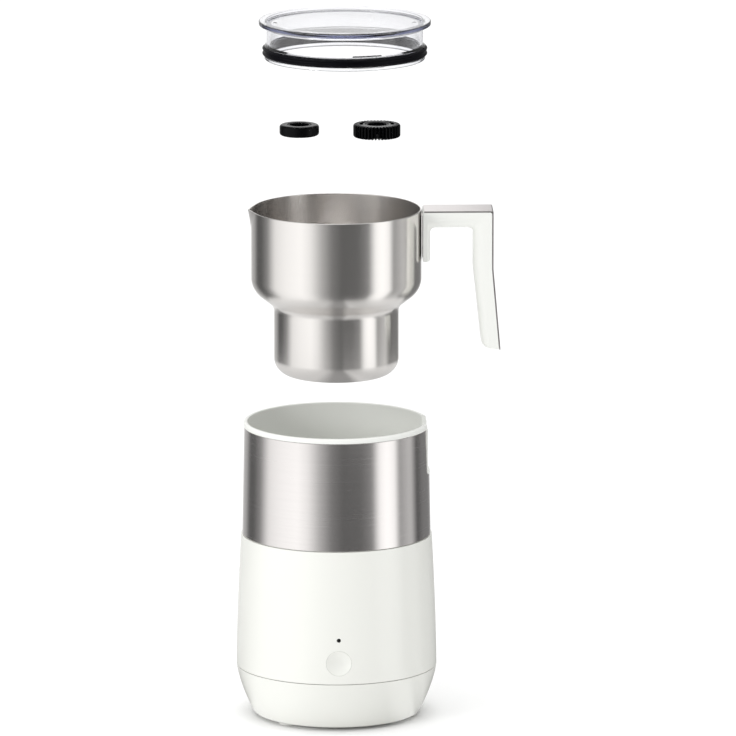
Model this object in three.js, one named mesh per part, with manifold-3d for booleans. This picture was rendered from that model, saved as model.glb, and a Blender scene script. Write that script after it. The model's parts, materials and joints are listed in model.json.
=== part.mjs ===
// A milk frother with an induction base, drawn taken apart: the base stands on its feet, and the jug, the
// two ring whisks and the lid hang above it, each where its slide starts.
// Lengths are millimetres and +Z is up. The origin is the middle of the base's flat underside, +X points
// to the handle and -Y to the start button.

import * as THREE from 'three';
import { mergeVertices } from 'three/addons/utils/BufferGeometryUtils.js';
import Module from 'manifold-3d';

const wasm = await Module();
wasm.setup();

// ---------------------------------------------------------------------------------------------------
// Driving dimensions
// ---------------------------------------------------------------------------------------------------

const GAP = 0.3; // air left between two pieces that touch on the real thing
const ROUND_SIDES = 36; // sides of the large turned shells, a multiple of 4
const SMALL_SIDES = 24; // sides of the whisks and other small round pieces
const TINY_SIDES = 12; // sides of screws, magnets and pins

const BASE = {
  undersideRadius: 52.5,
  undersideEdge: 1.6, // how far the flat underside stops short of the side
  coverPull: [60.5, 17], // the point that the bottom cover's side bows toward
  seamHeight: 30,
  bellyRadius: 62.5,
  bellyHeight: 60, // up to here the housing's side stays close to upright
  shoulderRadius: 59.6,
  shoulderHeight: 113.2,
  rimHeight: 184.5,
  wall: 2.4,
};

// The housing's tongue reaches down into the bottom cover, and its collar reaches up behind the band.
const TONGUE = { innerRadius: 57.4, outerRadius: 59, depth: 3.5 };
const COLLAR = { innerRadius: 56.8, outerRadius: 57.8, rise: 8 };

const BAND = { lowRadius: 58.8, topRadius: 57.5, topHeight: 181.2, sheet: 0.6 };

const WELL = {
  rimOuterRadius: 57.8,
  collarOuterRadius: 56.5,
  collarRadius: 55.3,
  pocketRadius: 40.8,
  pocketWall: 1.5,
  floorTop: 81.7,
  floorThickness: 1.6,
  floorRound: 1.4,
  coneLow: 119,
  coneTop: 137,
  lipRound: 1.2,
  lipInnerEdge: 0.8,
};

// The notch in the rim that the handle drops into, and the white frame that lines it.
const NOTCH = { width: 26.7, depth: 31, frame: 1.3, outerRadius: 58.2, cutFromX: 40, cutToX: 70 };

const JUG = {
  restHeight: 214.2, // the jug's bottom as drawn, above the base's underside
  height: 104.5,
  upperRadius: 52.95,
  lowerRadius: 38.85,
  sheet: 0.9,
  bottomRound: 11,
  shoulderRound: 14,
  neckRound: 6.5,
  shoulderTurn: 52, // degrees that the wall leans out of the vertical on the cone
  neckHeight: 40.3, // where the lower cylinder ends
};

const SPOUT = { reach: 2, drop: 13, halfWidth: 5.2 };

const HANDLE = {
  width: 23,
  rootX: 50, // where the outline starts, inside the jug's wall, before the wall's room is cut away
  armThickness: 11.3,
  cornerRound: 3,
  outerX: 97.3,
  innerX: 84.8,
  kinkDrop: 36.6,
  endDrop: 87.6,
  endOuterX: 101.8,
  endInnerX: 90.2,
  endRound: 4,
  blockX: 58,
  blockDrop: 32,
  strip: 0.8,
  stripStart: 0.9, // how far the steel strip starts outside the jug's wall
};
const HANDLE_BRACKET = { halfWidth: 8, low: 75, high: 101, thickness: 1.15 };
const HANDLE_SCREW = {
  heights: [78, 88],
  radius: 1.2,
  headRadius: 2.2,
  headThickness: 1.3,
  headSink: 1.5, // how far the head sits inside the handle's face
};

const LID = {
  restHeight: 413.2, // the lid's underside as drawn
  aside: 5.35, // how far it hangs to the handle's side of the axis as drawn
  height: 24,
  flangeRadius: 53.3,
  flangeThickness: 2.8,
  skirtRadius: 48.5,
  innerRadius: 46.6,
  discThickness: 2.5,
  dishRadius: 48,
  dishDepth: 1.6,
  beadRadius: 49.8,
  edge: 0.7,
  ventX: 43,
  ventRadius: 1.2,
};

const GASKET = { low: 2.3, high: 7.8, innerRadius: 48.3, coreRadius: 49.9, lipRadius: 51 };

// The tapered post in the middle of the jug's floor, and the two rings that slide down onto it.
const SPINDLE = { footRadius: 5.2, tipRadius: 1.8, high: 16.5 };
const WHISK = {
  boreRadius: 6.15,
  bushOuterRadius: 7,
  ringBoreRadius: 7.35,
  pocketDepth: 3.8,
  magnetAngles: [90, 270],
};
const FROTH = {
  place: [25.7, 20, 360.3],
  radius: 14.7,
  rootRadius: 12.7,
  thickness: 8,
  fins: 40,
  finShare: 0.5,
  crownWidth: 2,
  crownHeight: 2.2,
  magnetRadius: 1.6,
  magnetPlace: 10,
};
const KIDNEY = { innerRadius: 8.6, outerRadius: 11.2, halfSpan: 32, depth: 2.4, angles: [160, 20] };
const STIR = {
  place: [-23.2, -20, 368.7],
  radius: 12.25,
  thickness: 6.7,
  edge: 1.6,
  magnetRadius: 1.3,
  magnetPlace: 9.75,
};

const BUTTON = {
  height: 43.4,
  radius: 7.65,
  dishRadius: 46,
  dishDepth: 0.8,
  collarMargin: 1.4,
  collarFront: 58.8, // the collar stops here, behind the housing's wall
  collarThickness: 1,
  stemRadius: 2.5,
};
const LAMP = { height: 58, radius: 1, bodyRadius: 1.5, bodyLength: 4 };
const CONTROL_BOARD = { front: 48.9, thickness: 1.6, halfWidth: 14, low: 36, high: 66 };
const SWITCH = { halfSize: 3, depth: 3.6 };

const CHASSIS = { low: 33, high: 35.5, radius: 55.5, holeRadius: 15.2 };
const POST = { place: 53, radius: 2.5, top: 108.5 };
const COVER_SCREW = {
  place: 40,
  angles: [47, 167, 287],
  headRadius: 3,
  stemRadius: 1.4,
  bossRadius: 4,
  bossLow: 3,
  boreTop: 24,
};
const FOOT = {
  place: 45,
  angles: [107, 227, 347],
  padRadius: 6,
  depth: 2,
  recess: 0.5,
  stemRadius: 2,
  barb: 0.9,
};
const GLAND = { height: 12, boreRadius: 3.6, bodyRadius: 6, inner: 51, outer: 62.3, flangeRadius: 7.5 };

const MOTOR = { radius: 14, low: 40.5, high: 66.5, noseRadius: 4.6, shaftRadius: 1.5 };
const MOTOR_SCREW = { place: 9.5, angles: [0, 180], radius: 1.1, headRadius: 2.1, length: 4 };
const BRACKET = {
  low: 66.8,
  high: 68.8,
  radius: 24.5,
  boreRadius: 4.9,
  sleeveRadius: 6.6,
  sleeveHeight: 3.6,
  legPlace: 20.5,
  legAngles: [90, 210, 330],
  legRadius: 2.5,
};
const BEARING = { innerRadius: 1.8, outerRadius: 4.6, low: 69.1, high: 72.3 };
const ROTOR = { radius: 24, hubRadius: 5, low: 73.5, high: 76.7 };
const ROTOR_MAGNET = { place: 17, radius: 4.5, top: 79.5, angles: [45, 135, 225, 315] };
const COIL = { low: 84.5, high: 114.5, innerRadius: 43, coreRadius: 44.2, outerRadius: 49.5, flange: 1.2 };
const SENSOR = { place: 32, angle: 30, stemRadius: 2.4, headRadius: 4, stemLow: 68.5, headLow: 77 };
const POWER_BOARD = { low: 10, thickness: 1.6, length: 66, width: 42 };
const CAPACITOR = { radius: 7.5, x: 20, y: 8, top: 30 };
const TRANSFORMER = { low: [-26, -12], high: [-6, 8], top: 27 };

// ---------------------------------------------------------------------------------------------------
// Finishes: [colour, roughness, metalness]
// ---------------------------------------------------------------------------------------------------

const FINISH = {
  white: ['#f1f1ec', 0.25, 0],
  offWhite: ['#eceee8', 0.35, 0],
  brushedSteel: ['#b9b5b0', 0.34, 1],
  polishedSteel: ['#c6c3bf', 0.2, 1],
  clear: ['#e9eaf2', 0.05, 0],
  gasketBlack: ['#15151a', 0.5, 0],
  whiskBlack: ['#141417', 0.25, 0],
  copper: ['#a85f35', 0.4, 1],
  ferrite: ['#3a3a3d', 0.8, 0],
  magnet: ['#9a9ca0', 0.25, 1],
  zincPlate: ['#a7a9ab', 0.4, 1],
  circuitGreen: ['#1e5b3a', 0.5, 0],
  darkPlastic: ['#2b2b2e', 0.5, 0],
  lampAmber: ['#2c2a28', 0.2, 0],
};

// ---------------------------------------------------------------------------------------------------
// Shape helpers
// ---------------------------------------------------------------------------------------------------

const WELD_DISTANCE = 1e-4;
const radians = THREE.MathUtils.degToRad;

// Turns a list of [radius, height] points, run anticlockwise, about the upright axis.
function turned(profile, sides = ROUND_SIDES) {
  const points = profile.map(([radius, height]) => new THREE.Vector2(radius, height));
  return new THREE.LatheGeometry(points, sides).rotateX(Math.PI / 2);
}

// The same for a profile that never meets the axis: it closes on its own first point.
function turnedRing(profile, sides = ROUND_SIDES) {
  return turned([...profile, profile[0]], sides);
}

// A plain tube between two radii and two heights.
function tube(innerRadius, outerRadius, low, high, sides = SMALL_SIDES) {
  return turnedRing(
    [[innerRadius, low], [outerRadius, low], [outerRadius, high], [innerRadius, high]],
    sides,
  );
}

// Points [radius, height] on a round corner, the ends included. Angles are in degrees from outward.
function arc(centreRadius, centreHeight, round, from, to, steps) {
  const points = [];
  for (let step = 0; step <= steps; step += 1) {
    const angle = radians(from + ((to - from) * step) / steps);
    points.push([centreRadius + round * Math.cos(angle), centreHeight + round * Math.sin(angle)]);
  }
  return points;
}

// Points [radius, height] on a bow from one point to another, pulled toward a third.
function bow(start, pull, end, steps) {
  const curve = new THREE.QuadraticBezierCurve(
    new THREE.Vector2(...start),
    new THREE.Vector2(...pull),
    new THREE.Vector2(...end),
  );
  return curve.getPoints(steps).map((point) => [point.x, point.y]);
}

function box(low, high) {
  const size = high.map((value, axis) => value - low[axis]);
  const middle = high.map((value, axis) => (value + low[axis]) / 2);
  return new THREE.BoxGeometry(...size).translate(...middle);
}

// An upright rod from one height to another.
function rod(radius, low, high, sides = TINY_SIDES) {
  const shape = new THREE.CylinderGeometry(radius, radius, high - low, sides);
  return shape.rotateX(Math.PI / 2).translate(0, 0, (high + low) / 2);
}

// Lays a piece that was drawn upright down along Y: its top then points to the front.
function layToFront(geometry) {
  return geometry.rotateX(Math.PI / 2);
}

function placedAt(geometry, radius, degrees) {
  return geometry.translate(radius * Math.cos(radians(degrees)), radius * Math.sin(radians(degrees)), 0);
}

// An outline of [x, z] points, given a thickness along Y and centred on Y = 0.
function sidePlate(outline, width) {
  const shape = new THREE.Shape(outline.map(([x, z]) => new THREE.Vector2(x, z)));
  const plate = new THREE.ExtrudeGeometry(shape, { depth: width, bevelEnabled: false });
  return plate.rotateX(Math.PI / 2).translate(0, width / 2, 0);
}

function toSolid(geometry) {
  const bare = geometry.clone();
  bare.deleteAttribute('normal');
  bare.deleteAttribute('uv');
  const merged = mergeVertices(bare, WELD_DISTANCE);
  const corners = merged.index.array;
  const triVerts = [];
  for (let first = 0; first < corners.length; first += 3) {
    const triangle = [corners[first], corners[first + 1], corners[first + 2]];
    if (new Set(triangle).size === 3) triVerts.push(...triangle);
  }
  const mesh = new wasm.Mesh({
    numProp: 3,
    vertProperties: Float32Array.from(merged.attributes.position.array),
    triVerts: Uint32Array.from(triVerts),
  });
  return new wasm.Manifold(mesh);
}

function toGeometry(solid) {
  const mesh = solid.getMesh();
  const geometry = new THREE.BufferGeometry();
  geometry.setAttribute('position', new THREE.BufferAttribute(mesh.vertProperties, 3));
  geometry.setIndex(new THREE.BufferAttribute(mesh.triVerts, 1));
  return geometry;
}

function joined(...geometries) {
  return toGeometry(geometries.map(toSolid).reduce((sum, solid) => sum.add(solid)));
}

function cut(geometry, ...tools) {
  return toGeometry(tools.map(toSolid).reduce((rest, tool) => rest.subtract(tool), toSolid(geometry)));
}

function common(geometry, other) {
  return toGeometry(toSolid(geometry).intersect(toSolid(other)));
}

function addPiece(parent, name, geometry, finish) {
  const [color, roughness, metalness] = FINISH[finish];
  const material = new THREE.MeshStandardMaterial({ color, roughness, metalness });
  const piece = new THREE.Mesh(geometry, material);
  piece.name = name;
  parent.add(piece);
}

// ---------------------------------------------------------------------------------------------------
// The base's shells
// ---------------------------------------------------------------------------------------------------

// The cup that closes the base from below: a flat floor, and a side that bellies out to the seam.
function bottomCover() {
  const { undersideRadius, undersideEdge, coverPull, seamHeight, bellyRadius, wall } = BASE;
  const flatRadius = undersideRadius - undersideEdge;
  const [pullRadius, pullHeight] = coverPull;
  const outerSide = bow([undersideRadius, 1.1], coverPull, [bellyRadius, seamHeight - GAP], 4);
  const innerSide = bow(
    [bellyRadius - wall, seamHeight - GAP],
    [pullRadius - wall, pullHeight],
    [undersideRadius - wall, wall],
    3,
  );
  const shell = turned([[0, 0], [flatRadius, 0], ...outerSide, ...innerSide, [0, wall]]);
  const footHoles = FOOT.angles.flatMap((angle) => [
    placedAt(rod(FOOT.padRadius + GAP, -1, FOOT.recess), FOOT.place, angle),
    placedAt(rod(FOOT.stemRadius + GAP, -1, wall + 1), FOOT.place, angle),
  ]);
  const screwHoles = COVER_SCREW.angles.flatMap((angle) => [
    placedAt(rod(COVER_SCREW.headRadius + 0.5, -1, wall / 2), COVER_SCREW.place, angle),
    placedAt(rod(COVER_SCREW.stemRadius + 0.4, -1, wall + 1), COVER_SCREW.place, angle),
  ]);
  const cordHole = rod(GLAND.bodyRadius + GAP, GLAND.inner - 6, GLAND.outer + 6, SMALL_SIDES)
    .rotateX(-Math.PI / 2)
    .translate(0, 0, GLAND.height);
  return cut(shell, ...footHoles, ...screwHoles, cordHole);
}

// The tall white shell above the seam, with a tongue into the bottom cover and a collar behind the band.
function upperHousing() {
  const { bellyRadius, bellyHeight, seamHeight, shoulderRadius, shoulderHeight, wall } = BASE;
  const edge = 0.6;
  const outerSide = bow(
    [bellyRadius, seamHeight + GAP + edge],
    [bellyRadius, bellyHeight],
    [shoulderRadius, shoulderHeight - edge],
    4,
  );
  const innerSide = bow(
    [shoulderRadius - wall, shoulderHeight - 4],
    [bellyRadius - wall, bellyHeight],
    [bellyRadius - wall, seamHeight + 5],
    2,
  );
  const shell = turnedRing([
    [TONGUE.innerRadius, seamHeight - TONGUE.depth],
    [TONGUE.outerRadius, seamHeight - TONGUE.depth],
    [TONGUE.outerRadius, seamHeight + GAP],
    [bellyRadius - edge, seamHeight + GAP],
    ...outerSide,
    [shoulderRadius - edge, shoulderHeight],
    [COLLAR.outerRadius, shoulderHeight],
    [COLLAR.outerRadius, shoulderHeight + COLLAR.rise],
    [COLLAR.innerRadius, shoulderHeight + COLLAR.rise],
    [COLLAR.innerRadius, shoulderHeight - 2],
    ...innerSide,
    [TONGUE.innerRadius, seamHeight + 3],
  ]);
  const buttonHole = layToFront(rod(BUTTON.radius + GAP, 50, 70, SMALL_SIDES))
    .translate(0, 0, BUTTON.height);
  const lampHole = layToFront(rod(LAMP.radius + GAP, 50, 70)).translate(0, 0, LAMP.height);
  return cut(shell, buttonHole, lampHole);
}

// A box as wide as the notch plus a margin, reaching from inside the well to outside the band.
function notchBox(margin) {
  const halfWidth = NOTCH.width / 2 + margin;
  const low = BASE.rimHeight - NOTCH.depth - margin;
  return box([NOTCH.cutFromX, -halfWidth, low], [NOTCH.cutToX, halfWidth, BASE.rimHeight + 5]);
}

function steelBand() {
  const low = BASE.shoulderHeight + 0.4;
  const { lowRadius, topRadius, topHeight, sheet } = BAND;
  const sleeve = turnedRing([
    [lowRadius - sheet, low],
    [lowRadius, low],
    [topRadius, topHeight],
    [topRadius - sheet, topHeight],
  ]);
  return cut(sleeve, notchBox(NOTCH.frame + GAP));
}

// The white liner that the jug stands in: rim lip, collar, cone, pocket and floor, with the notch's frame.
function wellLiner() {
  const under = WELL.floorTop - WELL.floorThickness;
  const pocketOuter = WELL.pocketRadius + WELL.pocketWall;
  const { lipRound, floorRound } = WELL;
  const shell = turned([
    [0, under],
    [pocketOuter - floorRound, under],
    [pocketOuter, WELL.floorTop],
    [pocketOuter, WELL.coneLow - 0.8],
    [WELL.collarOuterRadius, WELL.coneTop - 1.6],
    [WELL.collarOuterRadius, BAND.topHeight + GAP],
    [WELL.rimOuterRadius, BAND.topHeight + GAP],
    ...arc(WELL.rimOuterRadius - lipRound, BASE.rimHeight - lipRound, lipRound, 0, 90, 2),
    [WELL.collarRadius + WELL.lipInnerEdge, BASE.rimHeight],
    [WELL.collarRadius, BASE.rimHeight - WELL.lipInnerEdge],
    [WELL.collarRadius, WELL.coneTop],
    [WELL.pocketRadius, WELL.coneLow],
    [WELL.pocketRadius, WELL.floorTop + floorRound],
    [WELL.pocketRadius - floorRound, WELL.floorTop],
    [0, WELL.floorTop],
  ]);
  const frameLow = BASE.rimHeight - NOTCH.depth - 10;
  const frameTop = BAND.topHeight + GAP;
  const frameRing = tube(WELL.collarRadius, NOTCH.outerRadius, frameLow, frameTop, ROUND_SIDES);
  const frame = common(frameRing, notchBox(NOTCH.frame));
  return cut(joined(shell, frame), notchBox(0));
}

// ---------------------------------------------------------------------------------------------------
// What the base holds
// ---------------------------------------------------------------------------------------------------

// The plate that everything inside is fixed to: bosses below for the cover screws, posts above.
function chassisPlate() {
  const plate = tube(CHASSIS.holeRadius, CHASSIS.radius, CHASSIS.low, CHASSIS.high);
  const posts = FOOT.angles.map((angle) =>
    placedAt(rod(POST.radius, CHASSIS.low, POST.top), POST.place, angle));
  const { place, bossRadius, bossLow, boreTop, stemRadius } = COVER_SCREW;
  const bosses = COVER_SCREW.angles.map((angle) =>
    placedAt(rod(bossRadius, bossLow, CHASSIS.high), place, angle));
  const bores = COVER_SCREW.angles.map((angle) =>
    placedAt(rod(stemRadius + GAP, bossLow - 1, boreTop), place, angle));
  return cut(joined(plate, ...posts, ...bosses), ...bores);
}

function coverScrew(angle) {
  const { place, headRadius, stemRadius, boreTop } = COVER_SCREW;
  const top = boreTop - 1;
  const screw = turned(
    [[0, 0.2], [headRadius, 0.2], [headRadius, 0.9], [stemRadius, 1.2], [stemRadius, top], [0, top]],
    TINY_SIDES,
  );
  return placedAt(screw, place, angle);
}

// A round pad under the floor, with a stem and a barb that snaps into the cover.
function foot(angle) {
  const { place, padRadius, depth, recess, stemRadius, barb } = FOOT;
  const padTop = recess - GAP;
  const floorTop = BASE.wall;
  const pad = turned(
    [
      [0, -depth],
      [padRadius - 1, -depth],
      [padRadius, -depth + 1],
      [padRadius, padTop],
      [stemRadius, padTop],
      [stemRadius, floorTop + 0.2],
      [stemRadius + barb, floorTop + 0.2],
      [stemRadius - 0.4, floorTop + 1.8],
      [0, floorTop + 1.8],
    ],
    TINY_SIDES,
  );
  return placedAt(pad, place, angle);
}

// The bush in the back of the cover where the mains cord would come out.
function cordGland() {
  const { boreRadius, bodyRadius, flangeRadius, inner, outer } = GLAND;
  const bush = turnedRing(
    [
      [boreRadius, inner],
      [bodyRadius, inner],
      [bodyRadius, outer - 1.4],
      [flangeRadius, outer - 1.4],
      [flangeRadius - 0.6, outer],
      [boreRadius, outer],
    ],
    SMALL_SIDES,
  );
  return bush.rotateX(-Math.PI / 2).translate(0, 0, GLAND.height);
}

function motorScrewHoles(low, high) {
  return MOTOR_SCREW.angles.map((angle) =>
    placedAt(rod(MOTOR_SCREW.radius + GAP, low, high), MOTOR_SCREW.place, angle));
}

function motorCan() {
  const { radius, low, high, noseRadius, shaftRadius } = MOTOR;
  const edge = 0.6;
  const can = turned(
    [
      [0, low],
      [radius - edge, low],
      [radius, low + edge],
      [radius, high - edge],
      [radius - edge, high],
      [noseRadius, high],
      [noseRadius, high + 2],
      [shaftRadius + GAP, high + 2],
      [shaftRadius + GAP, high - 5],
      [0, high - 5],
    ],
    SMALL_SIDES,
  );
  return cut(can, ...motorScrewHoles(high - 5, high + 1));
}

// A plate on three legs that carries the motor and the shaft's bearing.
function motorBracket() {
  const { low, high, radius, boreRadius, sleeveRadius, sleeveHeight, legPlace, legRadius } = BRACKET;
  const sleeveTop = high + sleeveHeight;
  const plate = turnedRing(
    [
      [boreRadius, low],
      [radius, low],
      [radius, high],
      [sleeveRadius, high],
      [sleeveRadius, sleeveTop],
      [boreRadius, sleeveTop],
    ],
    SMALL_SIDES,
  );
  const legs = BRACKET.legAngles.map((angle) =>
    placedAt(rod(legRadius, CHASSIS.high + GAP, high - 0.5), legPlace, angle));
  return cut(joined(plate, ...legs), ...motorScrewHoles(low - 1, high + 1));
}

function motorScrew(angle) {
  const { place, radius, headRadius, length } = MOTOR_SCREW;
  const tip = BRACKET.low - length;
  const seat = BRACKET.high + GAP;
  const top = BRACKET.high + 1.6;
  const screw = turned(
    [[0, tip], [radius, tip], [radius, seat], [headRadius, seat], [headRadius, top], [0, top]],
    TINY_SIDES,
  );
  return placedAt(screw, place, angle);
}

function magnetRotor() {
  const { radius, hubRadius, low, high } = ROTOR;
  const bore = MOTOR.shaftRadius + GAP;
  const hubLow = low - 0.6;
  return turnedRing(
    [[bore, hubLow], [hubRadius, hubLow], [hubRadius, low], [radius, low], [radius, high], [bore, high]],
    SMALL_SIDES,
  );
}

function coilFormer() {
  const { innerRadius, coreRadius, outerRadius, low, high, flange } = COIL;
  return turnedRing([
    [innerRadius, low],
    [outerRadius, low],
    [outerRadius, low + flange],
    [coreRadius, low + flange],
    [coreRadius, high - flange],
    [outerRadius, high - flange],
    [outerRadius, high],
    [innerRadius, high],
  ], SMALL_SIDES);
}

// The sensor that presses against the well's floor from below.
function thermalSensor() {
  const { place, angle, stemRadius, headRadius, stemLow, headLow } = SENSOR;
  const top = WELL.floorTop - WELL.floorThickness - GAP;
  const stem = [[0, stemLow], [stemRadius, stemLow], [stemRadius, headLow]];
  const head = [[headRadius, headLow], [headRadius, top], [0, top]];
  const sensor = turned([...stem, ...head], TINY_SIDES);
  return placedAt(sensor, place, angle);
}

// The cap has a shallow dish in its face, a collar behind the wall and a stem that reaches the switch.
function startButton() {
  const { height, radius, dishRadius, dishDepth, collarMargin, collarFront, stemRadius } = BUTTON;
  const face = BASE.bellyRadius - 0.1;
  const collarBack = collarFront - BUTTON.collarThickness;
  const blank = layToFront(rod(radius, collarBack + 0.6, face + 1, SMALL_SIDES));
  const wall = rod(face, -radius - 2, radius + 2, ROUND_SIDES);
  const dish = new THREE.SphereGeometry(dishRadius, 32, 24)
    .translate(0, -(face + dishRadius - dishDepth), 0);
  const cap = cut(common(blank, wall), dish);
  const collar = layToFront(rod(radius + collarMargin, collarBack, collarFront, SMALL_SIDES));
  const stemBack = CONTROL_BOARD.front + SWITCH.depth + 1.3;
  const stem = layToFront(rod(stemRadius, stemBack, collarFront + 0.2, TINY_SIDES));
  return joined(cap, collar, stem).translate(0, 0, height);
}

function frontBox(halfWidth, near, far, low, high) {
  return box([-halfWidth, -far, low], [halfWidth, -near, high]);
}

function controlBoard() {
  const { front, thickness, halfWidth, low, high } = CONTROL_BOARD;
  return frontBox(halfWidth, front - thickness, front, low, high);
}

function tactSwitch() {
  const near = CONTROL_BOARD.front + 0.1;
  const { halfSize, depth } = SWITCH;
  return frontBox(halfSize, near, near + depth - 0.1, BUTTON.height - halfSize, BUTTON.height + halfSize);
}

function lampOnBoard() {
  const near = CONTROL_BOARD.front + 0.1;
  return layToFront(rod(LAMP.bodyRadius, near, near + LAMP.bodyLength)).translate(0, 0, LAMP.height);
}

function lightPipe() {
  const near = CONTROL_BOARD.front + LAMP.bodyLength + 0.4;
  return layToFront(rod(LAMP.radius, near, BASE.bellyRadius - 0.75)).translate(0, 0, LAMP.height);
}

// ---------------------------------------------------------------------------------------------------
// The jug and its handle, in the jug's own frame: zero is the jug's bottom
// ---------------------------------------------------------------------------------------------------

// Outer outline of the jug's wall from the floor to the rim, moved in by the given amount.
function jugWall(inset) {
  const { lowerRadius, upperRadius, bottomRound, shoulderRound, neckRound, shoulderTurn } = JUG;
  const neckRise = neckRound * Math.sin(radians(shoulderTurn));
  const neckOut = neckRound * (1 - Math.cos(radians(shoulderTurn)));
  const shoulderOut = shoulderRound * (1 - Math.cos(radians(shoulderTurn)));
  const shoulderRise = shoulderRound * Math.sin(radians(shoulderTurn));
  const coneOut = upperRadius - lowerRadius - neckOut - shoulderOut;
  const coneRise = coneOut / Math.tan(radians(shoulderTurn));
  const shoulderHeight = JUG.neckHeight + neckRise + coneRise + shoulderRise;
  const neck = arc(lowerRadius + neckRound, JUG.neckHeight, neckRound + inset, 180, 180 - shoulderTurn, 2);
  const shoulder = arc(
    upperRadius - shoulderRound,
    shoulderHeight,
    shoulderRound - inset,
    -shoulderTurn,
    0,
    3,
  );
  return [
    ...arc(lowerRadius - bottomRound, bottomRound, bottomRound - inset, -90, 0, 4),
    ...neck,
    ...shoulder,
    [upperRadius - inset, JUG.height - SPOUT.drop],
    [upperRadius - inset, JUG.height],
  ];
}

// Pulls the wall out into the pouring lip on the side away from the handle.
function pinchSpout(geometry) {
  const place = geometry.attributes.position;
  for (let index = 0; index < place.count; index += 1) {
    const rise = (place.getZ(index) - (JUG.height - SPOUT.drop)) / SPOUT.drop;
    const aside = Math.abs(place.getY(index)) / SPOUT.halfWidth;
    if (place.getX(index) < 0 && rise > 0 && aside < 1) {
      place.setX(index, place.getX(index) - SPOUT.reach * rise * rise * (1 - aside));
    }
  }
  return geometry;
}

function jugBody() {
  const outside = jugWall(0);
  const inside = jugWall(JUG.sheet).reverse();
  return pinchSpout(turned([[0, 0], ...outside, ...inside, [0, JUG.sheet]]));
}

// The post that the rings are threaded on: it tapers, so a ring that comes down slanted clears it.
function whiskSpindle() {
  const low = JUG.sheet + 0.05;
  const { footRadius, tipRadius, high } = SPINDLE;
  return turned(
    [[0, low], [footRadius, low], [tipRadius + 0.5, high - 1.4], [tipRadius - 0.6, high], [0, high]],
    SMALL_SIDES,
  );
}

// The handle's side outline, with the outer edge moved in by the given amount.
function handleOutline(inset) {
  const { rootX, armThickness, cornerRound, outerX, innerX, kinkDrop, blockX, blockDrop } = HANDLE;
  const { endDrop, endOuterX, endInnerX, endRound } = HANDLE;
  const top = JUG.height;
  const armUnder = top - armThickness;
  const innerCorner = arc(innerX - cornerRound, armUnder - cornerRound, cornerRound, 0, 90, 3);
  const blockCorner = arc(blockX + cornerRound, armUnder - cornerRound, cornerRound, 90, 180, 3);
  const end = bow(
    [endInnerX + endRound, top - endDrop + 0.3],
    [endInnerX + 0.2, top - endDrop + 1],
    [endInnerX - 0.5, top - endDrop + endRound + 2],
    3,
  );
  return [
    [rootX, top - inset],
    [rootX, top - blockDrop],
    [blockX, top - blockDrop],
    ...blockCorner.reverse(),
    ...innerCorner.reverse(),
    [innerX, top - kinkDrop],
    ...end.reverse(),
    [endOuterX - inset, top - endDrop],
    [outerX - inset, top - kinkDrop],
    [outerX - inset, top - inset],
  ];
}

const JUG_FACE = JUG.upperRadius + GAP; // where the handle's parts start outside the wall

function handleScrew(height) {
  const { radius, headRadius, headThickness, headSink } = HANDLE_SCREW;
  const tip = JUG_FACE + 0.1;
  const seat = HANDLE.blockX - headSink;
  const top = seat + headThickness;
  const screw = turned(
    [[0, tip], [radius, tip], [radius, seat], [headRadius, seat], [headRadius, top], [0, top]],
    TINY_SIDES,
  );
  return screw.rotateY(Math.PI / 2).translate(0, 0, height);
}

// A rod along X at the given height, used to drill for the screws.
function sideDrill(radius, fromX, toX, height) {
  return rod(radius, fromX, toX).rotateY(Math.PI / 2).translate(0, 0, height);
}

function handleBody() {
  const blank = sidePlate(handleOutline(HANDLE.strip + GAP), HANDLE.width);
  const jugRoom = rod(JUG_FACE, 0, JUG.height + 5, ROUND_SIDES);
  const { halfWidth, low, high, thickness } = HANDLE_BRACKET;
  const bracketRoom = box(
    [JUG_FACE - 3, -halfWidth - GAP, low - GAP],
    [JUG_FACE + thickness + GAP, halfWidth + GAP, high + GAP],
  );
  const { radius, headRadius, headSink } = HANDLE_SCREW;
  const drills = HANDLE_SCREW.heights.flatMap((height) => [
    sideDrill(radius + GAP, JUG_FACE - 1, HANDLE.blockX + 1, height),
    sideDrill(headRadius + GAP, HANDLE.blockX - headSink - GAP, HANDLE.blockX + 1, height),
  ]);
  return cut(blank, jugRoom, bracketRoom, ...drills);
}

function handleStrip() {
  const { outerX, kinkDrop, endDrop, endOuterX, strip, stripStart, width } = HANDLE;
  const top = JUG.height;
  const startX = JUG_FACE + stripStart;
  return sidePlate([
    [startX, top - strip],
    [outerX - strip, top - strip],
    [outerX - strip, top - kinkDrop],
    [endOuterX - strip, top - endDrop],
    [endOuterX, top - endDrop],
    [outerX, top - kinkDrop],
    [outerX, top],
    [startX, top],
  ], width);
}

function handleBracket() {
  const { halfWidth, low, high, thickness } = HANDLE_BRACKET;
  const plate = box([JUG_FACE, -halfWidth, low], [JUG_FACE + thickness, halfWidth, high]);
  const drills = HANDLE_SCREW.heights.map((height) =>
    sideDrill(HANDLE_SCREW.radius + GAP, JUG_FACE - 1, JUG_FACE + thickness + 1, height));
  return cut(plate, ...drills);
}

// ---------------------------------------------------------------------------------------------------
// The lid and its gasket, in the lid's own frame: zero is the lid's underside
// ---------------------------------------------------------------------------------------------------

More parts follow.
